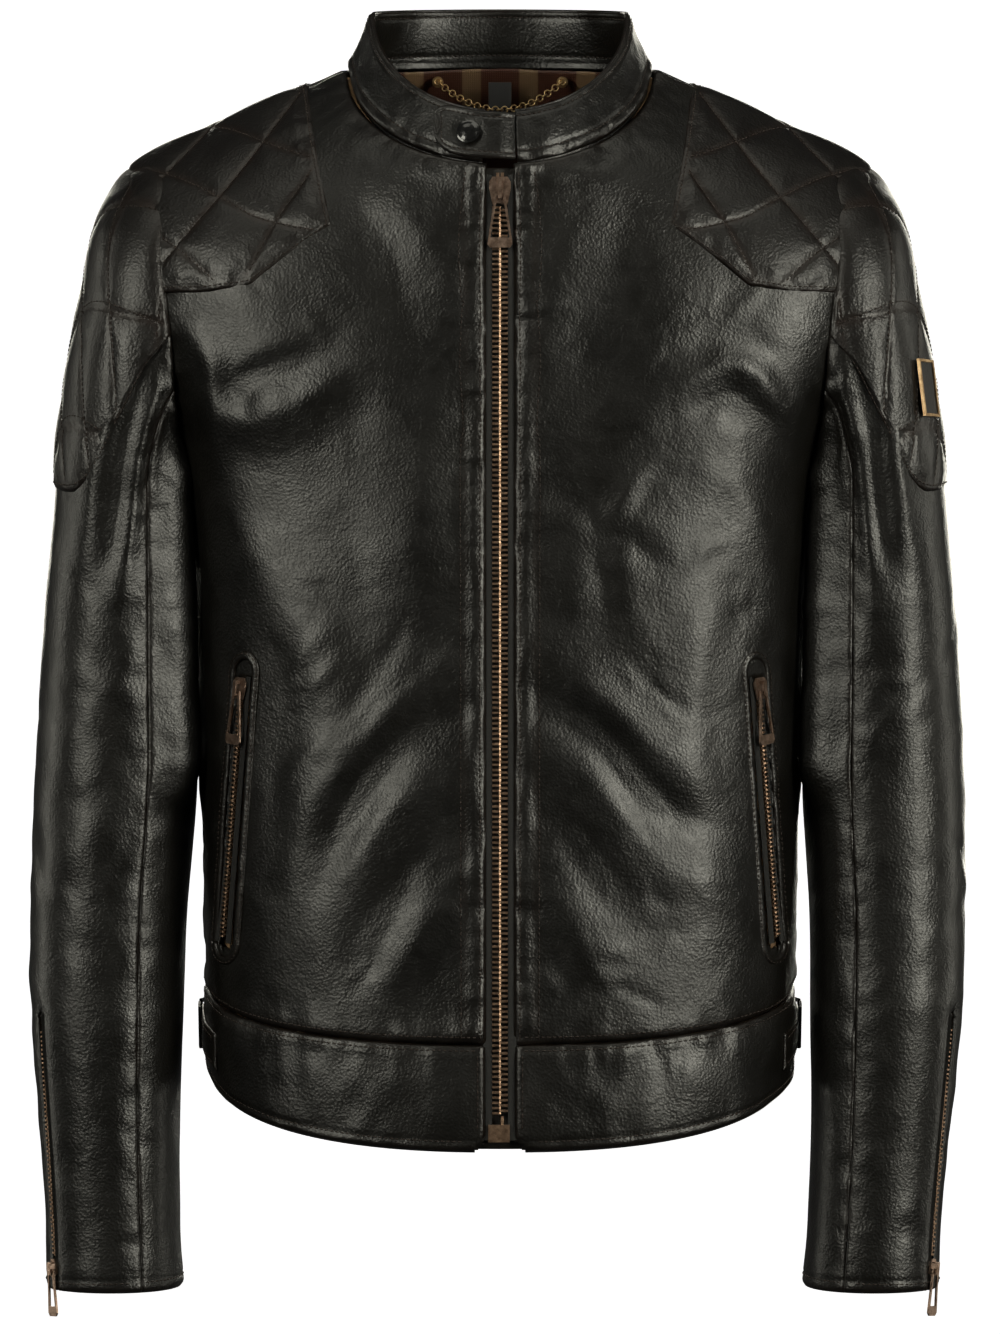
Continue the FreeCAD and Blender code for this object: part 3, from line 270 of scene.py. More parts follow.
def leather(name, dark, brown, rough, grain=1.0, worn=0.35):
    """Dyed cowhide: fine pebble grain, faint creases, brown where edges and seams are rubbed."""
    material, tree, shader = new_material(name)
    n = Nodes(tree)
    blotch = n.ramp(n.noise(14, 5, 0.6), (0.35, dark), (0.75, tuple(c * 1.7 for c in dark)))
    edge = n.math("MULTIPLY", n.attribute("rub"), n.ramp(n.noise(60, 4, 0.65), (0.3, 0.25), (0.62, 1.0)))
    n.link(n.mix(n.math("MULTIPLY", edge, worn), blotch, brown), shader.inputs["Base Color"])
    sheen = n.ramp(n.noise(38, 5, 0.62, 0.6), (0.3, rough - 0.05), (0.72, rough + 0.09))
    n.link(sheen, shader.inputs["Roughness"])
    creases = n.ramp(n.noise(75, 6, 0.62, 1.6), (0.46, 0.0), (0.5, 1.0), (0.54, 0.0))
    normal = n.bump(n.noise(26, 4, 0.55, 0.8), 0.22, 0.004)
    normal = n.bump(n.noise(150, 4, 0.6, 0.5), 0.16 * grain, 0.0012, normal)
    normal = n.bump(creases, 0.10 * grain, 0.0006, normal)
    normal = n.bump(n.cells(620), 0.34 * grain, 0.0005, normal)
    normal = n.bump(n.noise(420, 2, 0.5), 0.16 * grain, 0.0004, normal)
    n.link(normal, shader.inputs["Normal"])
    shader.inputs["Specular IOR Level"].default_value = 0.5
    shader.inputs["Coat Weight"].default_value = 0.06
    shader.inputs["Coat Roughness"].default_value = 0.22
    return material


def metal(name, colour, tarnish, rough=0.32):
    """Cast metal with dark tarnish in its hollows."""
    material, tree, shader = new_material(name)
    n = Nodes(tree)
    patches = n.noise(260, 5, 0.65)
    n.link(n.ramp(patches, (0.36, tarnish), (0.66, colour)), shader.inputs["Base Color"])
    n.link(n.ramp(n.noise(900, 3), (0.3, rough), (0.7, rough + 0.16)), shader.inputs["Roughness"])
    n.link(n.bump(n.noise(1500, 3), 0.12, 0.0003), shader.inputs["Normal"])
    shader.inputs["Metallic"].default_value = 1.0
    return material


def enamel(name, colour):
    material, tree, shader = new_material(name)
    n = Nodes(tree)
    paint = n.ramp(n.noise(300, 3), (0.3, colour), (0.7, tuple(c * 1.6 for c in colour)))
    n.link(paint, shader.inputs["Base Color"])
    n.link(n.ramp(n.noise(700, 3), (0.3, 0.13), (0.7, 0.22)), shader.inputs["Roughness"])
    shader.inputs["Coat Weight"].default_value = 0.6
    shader.inputs["Coat Roughness"].default_value = 0.08
    return material


def cloth(name, warp, weft, thread=1400.0, rough=0.75, stripe=None):
    """Woven cloth, with an optional broad check."""
    material, tree, shader = new_material(name)
    n = Nodes(tree)
    weave = n.math("MULTIPLY", *(n.wave(axis, thread / 6.28, 0.4) for axis in "XZ"))
    colour = n.mix(weave, warp, weft)
    if stripe:
        bands = [n.ramp(n.wave(axis, scale), (0.72, 0.0), (0.8, 1.0)) for axis, scale in (("X", 9.0), ("Z", 7.0))]
        colour = n.mix(n.math("MULTIPLY", n.math("MAXIMUM", *bands), 0.7), colour, stripe)
    n.link(colour, shader.inputs["Base Color"])
    n.link(n.bump(weave, 0.35, 0.0003), shader.inputs["Normal"])
    shader.inputs["Roughness"].default_value = rough
    return material


DARK, BROWN = (0.0027, 0.0024, 0.0018), (0.016, 0.0080, 0.0050)


def make_materials():
    return {
        "body": leather("leather_body", DARK, BROWN, 0.35, 1.0, 0.35),
        "quilt": leather("leather_quilt", (0.0030, 0.0023, 0.0018), BROWN, 0.38, 1.1, 0.6),
        "inside": leather("leather_inside", (0.008, 0.0065, 0.005), BROWN, 0.5, 0.8, 0.3),
        "thread": cloth("thread", (0.014, 0.008, 0.005), (0.028, 0.015, 0.010), 5200.0, 0.65),
        "lining": cloth("lining_weave", (0.060, 0.020, 0.012), (0.11, 0.042, 0.022), 1500.0, 0.55,
                        (0.26, 0.17, 0.09)),
        "tape": cloth("zip_tape", (0.008, 0.008, 0.008), (0.02, 0.019, 0.018), 2600.0, 0.8),
        "label": cloth("label_weave", (0.006, 0.006, 0.007), (0.013, 0.013, 0.014), 3000.0, 0.45),
        "teeth": metal("teeth_copper", (0.42, 0.28, 0.19), (0.19, 0.12, 0.08), 0.34),
        "pulls": metal("pull_bronze", (0.52, 0.37, 0.29), (0.22, 0.145, 0.105), 0.30),
        "gold": metal("chain_gold", (0.80, 0.58, 0.30), (0.42, 0.27, 0.12), 0.24),
        "brass": metal("badge_brass", (0.66, 0.47, 0.27), (0.33, 0.21, 0.11), 0.34),
        "black": enamel("snap_black", (0.006, 0.006, 0.006)),
    }


MATS = make_materials()


# ---- the two families of rings
def between(rows, level):
    """The rings at each level, by a Catmull-Rom curve through each column."""
    level = np.clip(level, 0, len(rows) - 1)
    i = np.minimum(level.astype(int), len(rows) - 2)
    t = (level - i)[..., None]
    padded = np.vstack([2 * rows[0] - rows[1], rows, 2 * rows[-1] - rows[-2]])
    p0, p1, p2, p3 = (padded[i + k] for k in range(4))
    ring = p1 + 0.5 * t * (p2 - p0 + t * (2 * p0 - 5 * p1 + 4 * p2 - p3 + t * (3 * (p1 - p2) + p3 - p0)))
    return np.moveaxis(ring, -1, 0)


def ring_points(rows, angle, level):
    side_z, front_z, back_z, wide, front, back, square = between(rows, level)
    s, c = np.sin(np.radians(angle)), np.cos(np.radians(angle))
    k = (np.abs(s) ** square + np.abs(c) ** square) ** (-1 / square)
    depth = np.where(c > 0, front, back)
    end_z = np.where(c > 0, front_z, back_z)
    return np.stack([wide * s * k, -depth * c * k, side_z + (end_z - side_z) * np.abs(c) * k], -1)


def torso(angle, level):
    return ring_points(TORSO, angle, level)


def collar(angle, level):
    return ring_points(COLLAR, angle, level)


def torso_at_x(x, level, back_side):
    side_z, front_z, back_z, wide, front, back, square = between(TORSO, level)
    share = np.maximum(0, 1 - np.minimum(1, np.abs(x) / wide) ** square) ** (1 / square)
    y = np.where(back_side, back, -front) * share
    return np.stack([x, y, side_z + (np.where(back_side, back_z, front_z) - side_z) * share], -1)


def halving(low, high, below):
    low, high = low + 0.0, high + 0.0
    for _ in range(32):
        middle = (low + high) / 2
        test = below(middle)
        low, high = np.where(test, middle, low), np.where(test, high, middle)
    return (low + high) / 2


def ridge_level(x):
    return halving(np.full(x.shape, TOP - 2), np.full(x.shape, TOP), lambda m: between(TORSO, m)[3] > x)


def level_at_height(x, z, back_side):
    return halving(np.full(x.shape, 2.0), ridge_level(x), lambda m: torso_at_x(x, m, back_side)[..., 2] < z)


def level_of_plane(y, z):
    def below(m):
        side_z, front_z, back_z, _, front, back, _ = between(TORSO, m)
        share = np.where(y < 0, -y / front, y / back)
        return side_z + (np.where(y < 0, front_z, back_z) - side_z) * share < z

    return halving(np.zeros(y.shape), np.full(y.shape, TOP), below)


def sleeve_ring(angle, level, side):
    x, y, z, tilt, high, deep, saddle = between(SLEEVE, level)
    t, s, c = np.radians(tilt), np.sin(np.radians(angle)), np.cos(np.radians(angle))
    k = (np.abs(s) ** SLEEVE_SQUARE + np.abs(c) ** SLEEVE_SQUARE) ** (-1 / SLEEVE_SQUARE)
    bend = saddle * s * s
    lean = -side * LEAN * np.maximum(0, (-z - LEAN_FROM) / LEAN_OVER)
    out = x + high * c * k * np.sin(t) + bend * np.cos(t) + lean
    return np.stack([side * out, y - deep * s * k, z + high * c * k * np.cos(t) - bend * np.sin(t)], -1)


def armhole_edge(angle, side):
    s, c = np.sin(np.radians(angle)), np.cos(np.radians(angle))
    y, z = -ARM_DEEP * s, ARM_Z + ARM_HIGH * c
    _, _, _, wide, front, back, square = between(TORSO, level_of_plane(y, z))
    share = np.abs(y) / np.where(y < 0, front, back)
    x = wide * np.maximum(0, 1 - share**square) ** (1 / square)
    return np.stack([side * (x + ARM_GAP), y, z], -1)


def sleeve(angle, level, side):
    point = sleeve_ring(angle, level, side)
    ease = np.clip(1 - level, 0, 1)[..., None] ** 2
    return point + (armhole_edge(angle, side) - sleeve_ring(angle, level * 0, side)) * ease


# ---- noise and folds
def lattice(i, j, k, seed):
    h = (i * 374761393 + j * 668265263 + k * 2147483647 + seed * 974634777) & 0xFFFFFFFF
    h = ((h ^ (h >> 13)) * 1274126177) & 0xFFFFFFFF
    return ((h ^ (h >> 16)) & 0xFFFF) / 65535.0


def noise(points, size, seed=1):
    """Smooth noise from -1 to 1 whose features are about size millimetres across."""
    q = points / np.asarray(size, float)
    cell = np.floor(q).astype(np.int64)
    f = q - cell
    f = f * f * (3 - 2 * f)
    total = 0
    for dx in (0, 1):
        for dy in (0, 1):
            for dz in (0, 1):
                w = np.abs(1 - dx - f[..., 0]) * np.abs(1 - dy - f[..., 1]) * np.abs(1 - dz - f[..., 2])
                total = total + w * lattice(cell[..., 0] + dx, cell[..., 1] + dy, cell[..., 2] + dz, seed)
    return total * 2 - 1


def smooth(x):
    x = np.clip(x, 0, 1)
    return x * x * (3 - 2 * x)


def along_line(q, line):
    """Distance of each point from a polyline, and how far along it the nearest point lies, from 0 to 1."""
    line = np.asarray(line, float)
    steps = np.linalg.norm(np.diff(line, axis=0), axis=1)
    starts = np.concatenate([[0], np.cumsum(steps)])
    best = np.full(q.shape[:-1], 1e9)
    where = np.zeros(q.shape[:-1])
    for a, b, start, step in zip(line, line[1:], starts, steps):
        d = b - a
        t = np.clip(((q - a) @ d) / (d @ d), 0, 1)
        gap = np.linalg.norm(q - (a + t[..., None] * d), axis=-1)
        nearer = gap < best
        best = np.where(nearer, gap, best)
        where = np.where(nearer, (start + t * step) / starts[-1], where)
    return best, where


def fold(q, line, width, height, sharp=1.6):
    """A ridge (or with a negative height a crease) along a line, with shallow hollows beside it."""
    line = np.asarray(line, float)
    near = np.all((q > line.min(0) - 4 * width) & (q < line.max(0) + 4 * width), axis=-1)
    lift = np.zeros(q.shape[:-1])
    if near.any():
        gap, where = along_line(q[near], line)
        crest = np.exp(-((gap / width) ** sharp)) - 0.32 * np.exp(-(((gap - 1.9 * width) / width) ** 2))
        lift[near] = height * crest * np.sin(math.pi * np.clip(where, 0.02, 0.98)) ** 0.7
    return lift


# Folds of the two fronts in the front view: width, height, then x and z of each point of the line.
FRONT_FOLDS = (
    (13, 3.2, -68, -66, -48, -92, -26, -122, -14, -160),
    (15, -2.2, -90, -60, -78, -96, -60, -130, -46, -170),
    (8, 4.0, -190, -146, -172, -176, -168, -205, -170, -250),
    (7, -3.4, -172, -186, -152, -196, -124, -186, -98, -172),
    (9, 3.4, -168, -206, -146, -214, -118, -204, -90, -186, -70, -176),
    (16, 2.6, -170, -240, -140, -292, -118, -372),
    (14, -2.2, -158, -226, -118, -250, -90, -300, -78, -350),
    (20, 2.6, -66, -180, -48, -250, -44, -330),
    (10, -1.6, -18, -190, -26, -260, -20, -330),
    (11, 3.4, -10, -352, -52, -372, -98, -412, -120, -470),
    (8, -2.8, -10, -376, -56, -402, -94, -446, -110, -500),
    (11, 3.2, -10, -410, -58, -438, -98, -484, -112, -530),
    (8, -2.6, -10, -446, -50, -474, -80, -520, -88, -556),
    (8, 2.4, -12, -484, -44, -508, -66, -548),
    (12, -2.4, -134, -300, -128, -380, -140, -460),
    (13, 2.6, -120, -300, -108, -380, -122, -470, -130, -540),
    (13, 2.6, 60, -66, 44, -100, 26, -150, 18, -200),
    (16, -2.0, 88, -74, 74, -118, 60, -170, 58, -220),
    (8, 3.6, 96, -196, 124, -184, 150, -190, 170, -214),
    (7, -2.8, 104, -212, 130, -202, 154, -212, 170, -240),
    (11, 2.8, 110, -236, 140, -250, 160, -290, 166, -340),
    (10, -1.8, 24, -226, 48, -262, 60, -300),
    (8, 2.2, 86, -238, 66, -266, 50, -280),
    (7, -2.2, 50, -280, 56, -306, 60, -340),
    (6, 1.8, 14, -262, 34, -272, 52, -278),
    (6, -1.8, 52, -278, 76, -286, 98, -300),
    (11, 3.2, 12, -338, 56, -366, 104, -402, 142, -424),
    (8, -2.8, 12, -362, 58, -396, 104, -436, 140, -452),
    (11, 3.2, 12, -392, 60, -432, 104, -476, 138, -490),
    (8, -2.6, 12, -428, 54, -474, 92, -520),
    (9, 2.6, 12, -464, 44, -504, 74, -548),
    (12, -2.2, 140, -300, 132, -370, 138, -440),
    (13, 2.4, 122, -310, 112, -380, 118, -460, 126, -540),
)


def soft_floor(lift, low=-0.9):
    """Keeps hollows from reaching the layers behind the leather."""
    return np.where(lift > low, lift, low + 0.6 * np.tanh((lift - low) / 0.6))


def front_folds(p):
    q = p[..., [0, 2]]
    warp = np.stack([noise(p, 46, 11), noise(p, 46, 12)], -1) * 7
    q = q + warp
    lift = sum(fold(q, np.reshape(line, (-1, 2)), width * 1.2, height * 0.62) for width, height, *line in FRONT_FOLDS)
    rng = np.random.default_rng(8)
    for _ in range(60):
        x = rng.uniform(14, 168) * rng.choice((-1, 1))
        z = rng.uniform(-560, -120)
        slope = math.copysign(1, x) * (0.9 if z < -330 else -0.7) + rng.normal(0, 0.5)
        reach = rng.uniform(16, 44)
        d = np.array([1, -slope]) / math.hypot(1, slope) * reach / 2
        bow = rng.normal(0, 5, 2)
        c = np.array((x, z))
        lift = lift + fold(q, [c - d, c + bow, c + d], rng.uniform(2.6, 5.5),
                           rng.uniform(0.25, 0.8) * rng.choice((-1, 1)), 1.3)
    return lift


def back_folds(p):
    q = p[..., [0, 2]]
    rng = np.random.default_rng(21)
    lift = 0
    warp = np.stack([noise(p, 50, 31), noise(p, 50, 32)], -1) * 9
    for _ in range(56):
        x, z = rng.uniform(-160, 160), rng.uniform(-560, -70)
        slope = rng.normal(0.0, 0.45) + 0.5 * math.copysign(1, x) * (1 if z > -300 else -1)
        reach = rng.uniform(40, 120)
        d = np.array([1, -slope]) / math.hypot(1, slope) * reach / 2
        c = np.array((x, z))
        lift = lift + fold(q + warp, [c - d, c + rng.normal(0, 8, 2), c + d], rng.uniform(6, 14),
                           rng.uniform(0.8, 2.4) * rng.choice((-1, 1)))
    return lift


def random_folds(lift, q, rng, count, across, down, reach, tilt, widths, heights, drop=0, bow=6):
    """Adds folds whose middles lie between two values across and two values down."""
    for _ in range(count):
        centre = np.array((rng.uniform(*across), rng.uniform(*down)))
        half = np.array((rng.uniform(*reach), rng.normal(0, tilt) + drop))
        middle = centre + rng.normal(0, bow, 2) if bow else centre
        lift = lift + fold(q, [centre - half, middle, centre + half], rng.uniform(*widths),
                           rng.uniform(*heights) * rng.choice((-1, 1)))
    return lift


def sleeve_folds(angle, p, side):
    """Creases round the elbow, long folds down from the armhole, and soft dents elsewhere."""
    q = np.stack([angle * 0.86, -p[..., 2]], -1)
    q = q + np.stack([noise(p, 40, 41 + side), noise(p, 40, 42 + side)], -1) * 8
    rng = np.random.default_rng(50 + side)
    lift = random_folds(0, q, rng, 30, (10, 150), (300, 520), (22, 46), 16, (4.5, 9), (0.4, 1.3), drop=10)
    lift = random_folds(lift, q, rng, 16, (-90, 10), (320, 640), (20, 50), 20, (5, 11), (0.4, 1.2))
    for start, bend, reach, height, width in (
        (96, -12, 330, 3.6, 9), (82, -6, 300, -3.0, 8), (70, -18, 300, 2.6, 10),
        (58, -10, 250, -1.8, 9), (104, 4, 260, -2.6, 7), (-84, 8, 320, 3.0, 11), (-100, 4, 290, -2.4, 9),
    ):
        lift = lift + fold(q, [(start, 165), (start + bend * 0.4, 230), (start + bend, reach)], width, 1.5 * height)
    return random_folds(lift, q, rng, 18, (-100, 130), (520, 715), (10, 34), 12, (4, 9), (0.4, 1.3), bow=0)


# ---- panels
class Panel:
    """A grid of points over s and t with its normals, kept so that stitches can be laid on it."""

    def __init__(self, surface, outward, columns, rows):
        self.s, self.t = np.meshgrid(np.linspace(0, 1, columns), np.linspace(0, 1, rows), indexing="ij")
        self.p = surface(self.s, self.t)
        self.outward = outward
        self.n = self.normals()
        self.keep = None

    def normals(self):
        a = np.gradient(self.p, axis=0)
        b = np.gradient(self.p, axis=1)
        n = np.cross(a, b) * self.outward
        return n / np.maximum(np.linalg.norm(n, axis=-1, keepdims=True), 1e-9)

    def spans(self):
        """Distance in millimetres of each point from the edges s=0, s=1, t=0 and t=1, over the surface."""
        ds = np.linalg.norm(np.diff(self.p, axis=0), axis=-1)
        dt = np.linalg.norm(np.diff(self.p, axis=1), axis=-1)
        s0 = np.concatenate([np.zeros((1, self.p.shape[1])), np.cumsum(ds, 0)], 0)
        t0 = np.concatenate([np.zeros((self.p.shape[0], 1)), np.cumsum(dt, 1)], 1)
        return s0, s0[-1:] - s0, t0, t0[:, -1:] - t0

    def lift(self, height):
        self.p = self.p + self.n * np.asarray(height)[..., None]

    def dress(self, height):
        """Lifts the surface, then takes its normals again for what is laid on it."""
        self.lift(height)
        self.n = self.normals()

    def at(self, s, t):
        """Points and normals at any s and t."""
        columns, rows = self.p.shape[:2]
        x, y = np.clip(s, 0, 1) * (columns - 1), np.clip(t, 0, 1) * (rows - 1)
        i, j = np.minimum(x.astype(int), columns - 2), np.minimum(y.astype(int), rows - 2)
        fx, fy = (x - i)[..., None], (y - j)[..., None]

        def blend(grid):
            return ((grid[i, j] * (1 - fx) + grid[i + 1, j] * fx) * (1 - fy)
                    + (grid[i, j + 1] * (1 - fx) + grid[i + 1, j + 1] * fx) * fy)

        return blend(self.p), blend(self.n)


def window(z, low, high, soft=34):
    """1 between two heights and 0 beyond them, with soft ends."""
    return smooth((z - low) / soft) * smooth((high - z) / soft)


def edge_ripple(p, gap, reach, height, wave, seed):
    """Puckers that run in from a stitched edge and die out."""
    ripple = noise(p, wave, seed) + 0.6 * noise(p, [w * 0.55 for w in wave], seed + 1)
    return height * ripple * np.exp(-((gap / reach) ** 1.4)) * smooth(gap / 2.0)


def edge_ripples(p, *rows):
    return sum(edge_ripple(p, *row) for row in rows)


def turned_edge(gap, width=3.2, depth=1.5):
    """The edge of the leather, turned under."""
    return -depth * (1 - np.clip(gap / width, 0, 1)) ** 2.2


def worn(width, *gaps):
    """How rubbed the leather is, by its distance from its edges."""
    return np.exp(-np.minimum.reduce(gaps) / width)


def arch(t0, t1):
    """A full, flat-topped rise between two edges."""
    return np.clip(np.sin(math.pi * t0 / (t0 + t1)), 0, 1) ** 0.65


def seam_row(gap, at, depth=0.45, width=1.1):
    """The groove that a row of stitches pulls into the leather."""
    return -depth * np.exp(-(((gap - at) / width) ** 2))


def build(name, points, faces, material, rub=None):
    mesh = bpy.data.meshes.new(name)
    mesh.from_pydata((points * MM).tolist(), [], faces)
    mesh.materials.append(material)
    if rub is not None:
        layer = mesh.attributes.new("rub", "FLOAT", "POINT")
        layer.data.foreach_set("value", np.asarray(rub, np.float32).ravel())
    mesh.polygons.foreach_set("use_smooth", [True] * len(mesh.polygons))
    mesh.update()
    obj = bpy.data.objects.new(name, mesh)
    bpy.context.scene.collection.objects.link(obj)
    return obj


def grid_faces(columns, rows, keep, flip):
    i, j = np.meshgrid(np.arange(columns - 1), np.arange(rows - 1), indexing="ij")
    a = (i * rows + j).ravel()
    quads = np.stack([a, a + rows, a + rows + 1, a + 1], -1)
    if keep is not None:
        inside = keep.ravel()
        quads = quads[inside[quads].any(1)]
    return quads[:, ::-1] if flip else quads


def piece(name, panel, material, rub, replaced, body=None, thick=1.5):
    """The mesh of a panel with the leather's thickness behind it, and what it belongs to."""
    columns, rows = panel.p.shape[:2]
    faces = grid_faces(columns, rows, panel.keep, panel.outward < 0)
    used = np.unique(faces)
    renumber = np.zeros(columns * rows, int)
    renumber[used] = np.arange(len(used))
    points = panel.p.reshape(-1, 3)[used]
    obj = build(name, points, renumber[faces].tolist(), material, rub.reshape(-1)[used])
    shell = obj.modifiers.new("thickness", "SOLIDIFY")
    shell.thickness = thick * MM
    shell.offset = -1.0
    shell.use_even_offset = False
    if body:
        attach(obj, body)
    if replaced:
        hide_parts(replaced)
    return obj


def cut_armholes(panel, grow=0.0):
    """Leaves out what lies inside the armholes and brings the cut edge onto their line."""
    p = panel.p
    high, deep = ARM_HIGH + grow, ARM_DEEP + grow
    r = np.sqrt((p[..., 1] / deep) ** 2 + ((p[..., 2] - ARM_Z) / high) ** 2)
    inside = (r < 1) & (np.abs(p[..., 0]) > ARM_SIDE)
    panel.keep = ~inside
    near = inside & (r > 0.55)
    scale = np.where(near, 1 / np.maximum(r, 0.3), 1.0)
    y, z = p[..., 1] * scale, ARM_Z + (p[..., 2] - ARM_Z) * scale
    _, _, _, wide, front, back, square = between(TORSO, level_of_plane(y, z))
    share = np.clip(np.abs(y) / np.where(y < 0, front, back), 0, 1)
    x = np.sign(p[..., 0]) * wide * np.maximum(0, 1 - share**square) ** (1 / square)
    moved = np.stack([x, y, z], -1)
    panel.p = np.where(near[..., None], moved, p)
    return np.where(np.abs(p[..., 0]) > ARM_SIDE, np.abs(r - 1) * 80, 1e3)


class Stitches:
    """Collects the stitches that ride together, as short raised threads."""

    def __init__(self):
        self.points, self.faces = [], []

    def row(self, path, normals, pitch=3.3, length=2.5, radius=0.42):
        steps = np.linalg.norm(np.diff(path, axis=0), axis=1)
        far = np.concatenate([[0], np.cumsum(steps)])
        if far[-1] < pitch:
            return
        count = int(far[-1] / pitch)
        for k in range(count):
            middle = (k + 0.5) * pitch
            a, b = (self.between(middle + d, far, path) for d in (-length / 2, length / 2))
            n = self.between(middle, far, normals)
            self.stitch(a, b, n / np.linalg.norm(n), radius)

    def between(self, at, far, rows):
        return np.array([np.interp(at, far, rows[:, c]) for c in range(3)])

    def stitch(self, a, b, n, radius):
        d = (b - a) / max(np.linalg.norm(b - a), 1e-9)
        side = np.cross(d, n)
        base = len(self.points)
        for share, swell, sink in ((0.0, 0.25, -0.5), (0.22, 0.95, 0.15), (0.78, 0.95, 0.15), (1.0, 0.25, -0.5)):
            centre = a + (b - a) * share + n * radius * (sink + 0.35)
            for angle in range(0, 360, 60):
                c, s = math.cos(math.radians(angle)), math.sin(math.radians(angle))
                self.points.append(centre + (side * c + n * s) * radius * swell)
        for ring in range(3):
            for k in range(6):
                i, j = base + ring * 6 + k, base + ring * 6 + (k + 1) % 6
                self.faces.append((i, j, j + 6, i + 6))

    def make(self, name, material):
        return build(name, np.array(self.points), self.faces, material)


def edge_row(stitches, panel, edge, inset, t0=0.0, t1=1.0):
    """A row of stitches at a distance from one edge of a panel."""
    share = np.linspace(t0, t1, 400)
    length_s = panel.spans()[0][-1]
    length_t = panel.spans()[2][:, -1]
    if edge in ("s0", "s1"):
        across = inset / np.interp(share, np.linspace(0, 1, len(length_s)), length_s)
        s, t = (across if edge == "s0" else 1 - across), share
    else:
        across = inset / np.interp(share, np.linspace(0, 1, len(length_t)), length_t)
        s, t = share, (across if edge == "t0" else 1 - across)
    stitches.row(*panel.at(s, t))


def inner_rows(stitches, panel, s, t, inside):
    """Rows of stitches along the stretches of a path that are inside a patch."""
    for run in np.split(np.arange(len(s)), np.where(np.diff(inside.astype(int)) != 0)[0] + 1):
        if inside[run[0]] and len(run) > 12:
            stitches.row(*panel.at(s[run], t[run]), 3.4, 2.5, 0.4)


# ---- torso
THREADS = {body: Stitches() for body in ("torso", "sleeve_right", "sleeve_left", "collar_tab")}


def start_angle(level, x):
    return np.degrees(np.arcsin(x / between(TORSO, level)[3]))


def front_surface(side, low, high, inner, outer_angle=SIDE_SEAM):
    def surface(s, t):
        level = low + (high - low) * t
        start = start_angle(level, inner)
        return torso(side * (start + (outer_angle - start) * s), level)

    return surface


def pocket_gap(p, side):
    """Distance from the pocket's opening, which runs up the side of each front."""
    return along_line(p[..., [0, 2]] * (side, 1), POCKET_LINE)[0]


def make_front(name, side):
    panel = Panel(front_surface(side, WAIST + WAIST_GAP, TOP, FRONT_EDGE), side, 116, 250)
    s0, s1, t0, t1 = panel.spans()
    arm = cut_armholes(panel, -9)
    fade = smooth(s0 / 16) * smooth(s1 / 22) * smooth(t0 / 16) * smooth(t1 / 22) * smooth(arm / 16)
    pocket = pocket_gap(panel.p, side)
    p = panel.p.copy()
    lift = front_folds(p) * fade * (0.25 + 0.75 * smooth((pocket - 14) / 22))
    lift += 1.2 * noise(p, (46, 60, 70), 3) * fade + 0.35 * noise(p, (17, 20, 24), 4) * fade
    lift = soft_floor(lift)
    lift += edge_ripple(p, s0, 15, 1.5, (30, 30, 8), 61) * smooth(s1 / 20)
    lift += edge_ripples(p, (t0, 16, 1.25, (11, 30, 30), 63), (t1, 18, 1.1, (12, 12, 12), 65),
                         (arm, 16, 1.3, (14, 14, 10), 67), (s1, 14, 1.0, (20, 20, 12), 69))
    lift += 2.6 * np.exp(-((s1 / 16) ** 2)) * window(p[..., 2], *UNDERARM)
    for gap in (s0, t0, t1, s1, arm):
        lift += turned_edge(gap)
    for gap, at in ((s0, 3.0), (s0, 12.5), (t0, 3.2), (arm, 3.4)):
        lift += seam_row(gap, at)
    # The raised strip between the two rows beside the zip.
    lift += 0.5 * np.exp(-(((s0 - 7.6) / 4.2) ** 4))
    panel.dress(lift)
    rub = np.clip(1.2 * worn(3.0, s0, t0, t1, arm, s1), 0, 1)
    rub = np.maximum(rub, 0.8 * np.exp(-(((s0 - 12.5) / 1.8) ** 2)))
    panel.keep &= pocket >= POCKET_SLOT
    piece(f"leather_front_{name}", panel, MATS["body"], rub, f"front_panel_{name}", "torso")
    threads = THREADS["torso"]
    edge_row(threads, panel, "s0", 3.0, 0.004, 0.985)
    edge_row(threads, panel, "s0", 12.5, 0.004, 0.98)
    edge_row(threads, panel, "t0", 3.2, 0.02, 0.98)


def make_back():
    low = WAIST + WAIST_GAP
    panel = Panel(lambda s, t: torso(BACK_START + BACK_SWEEP * s, low + (TOP - low) * t), 1, 190, 190)
    s0, s1, t0, t1 = panel.spans()
    arm = cut_armholes(panel, -9)
    fade = smooth(s0 / 22) * smooth(s1 / 22) * smooth(t0 / 18) * smooth(t1 / 20) * smooth(arm / 16)
    p = panel.p.copy()
    lift = soft_floor(0.6 * back_folds(p) * fade)
    lift = lift + 1.2 * noise(p, (60, 60, 80), 5) * fade + 0.5 * noise(p, (20, 20, 26), 6) * fade
    lift += edge_ripples(p, (t0, 16, 1.2, (12, 30, 30), 71), (t1, 16, 1.0, (12, 12, 12), 73),
                         (arm, 16, 1.2, (14, 14, 10), 75))
    lift += 3.2 * np.exp(-(((np.minimum(s0, s1) - 12) / 24) ** 2)) * window(p[..., 2], *UNDERARM)
    for gap in (s0, s1, t0, t1, arm):
        lift += turned_edge(gap)
    lift += seam_row(t0, 3.2) + seam_row(arm, 3.4)
    panel.dress(lift)
    rub = worn(3.0, s0, s1, t0, t1, arm)
    piece("leather_back", panel, MATS["body"], rub, "back_panel", "torso")
    edge_row(THREADS["torso"], panel, "t0", 3.2, 0.01, 0.99)


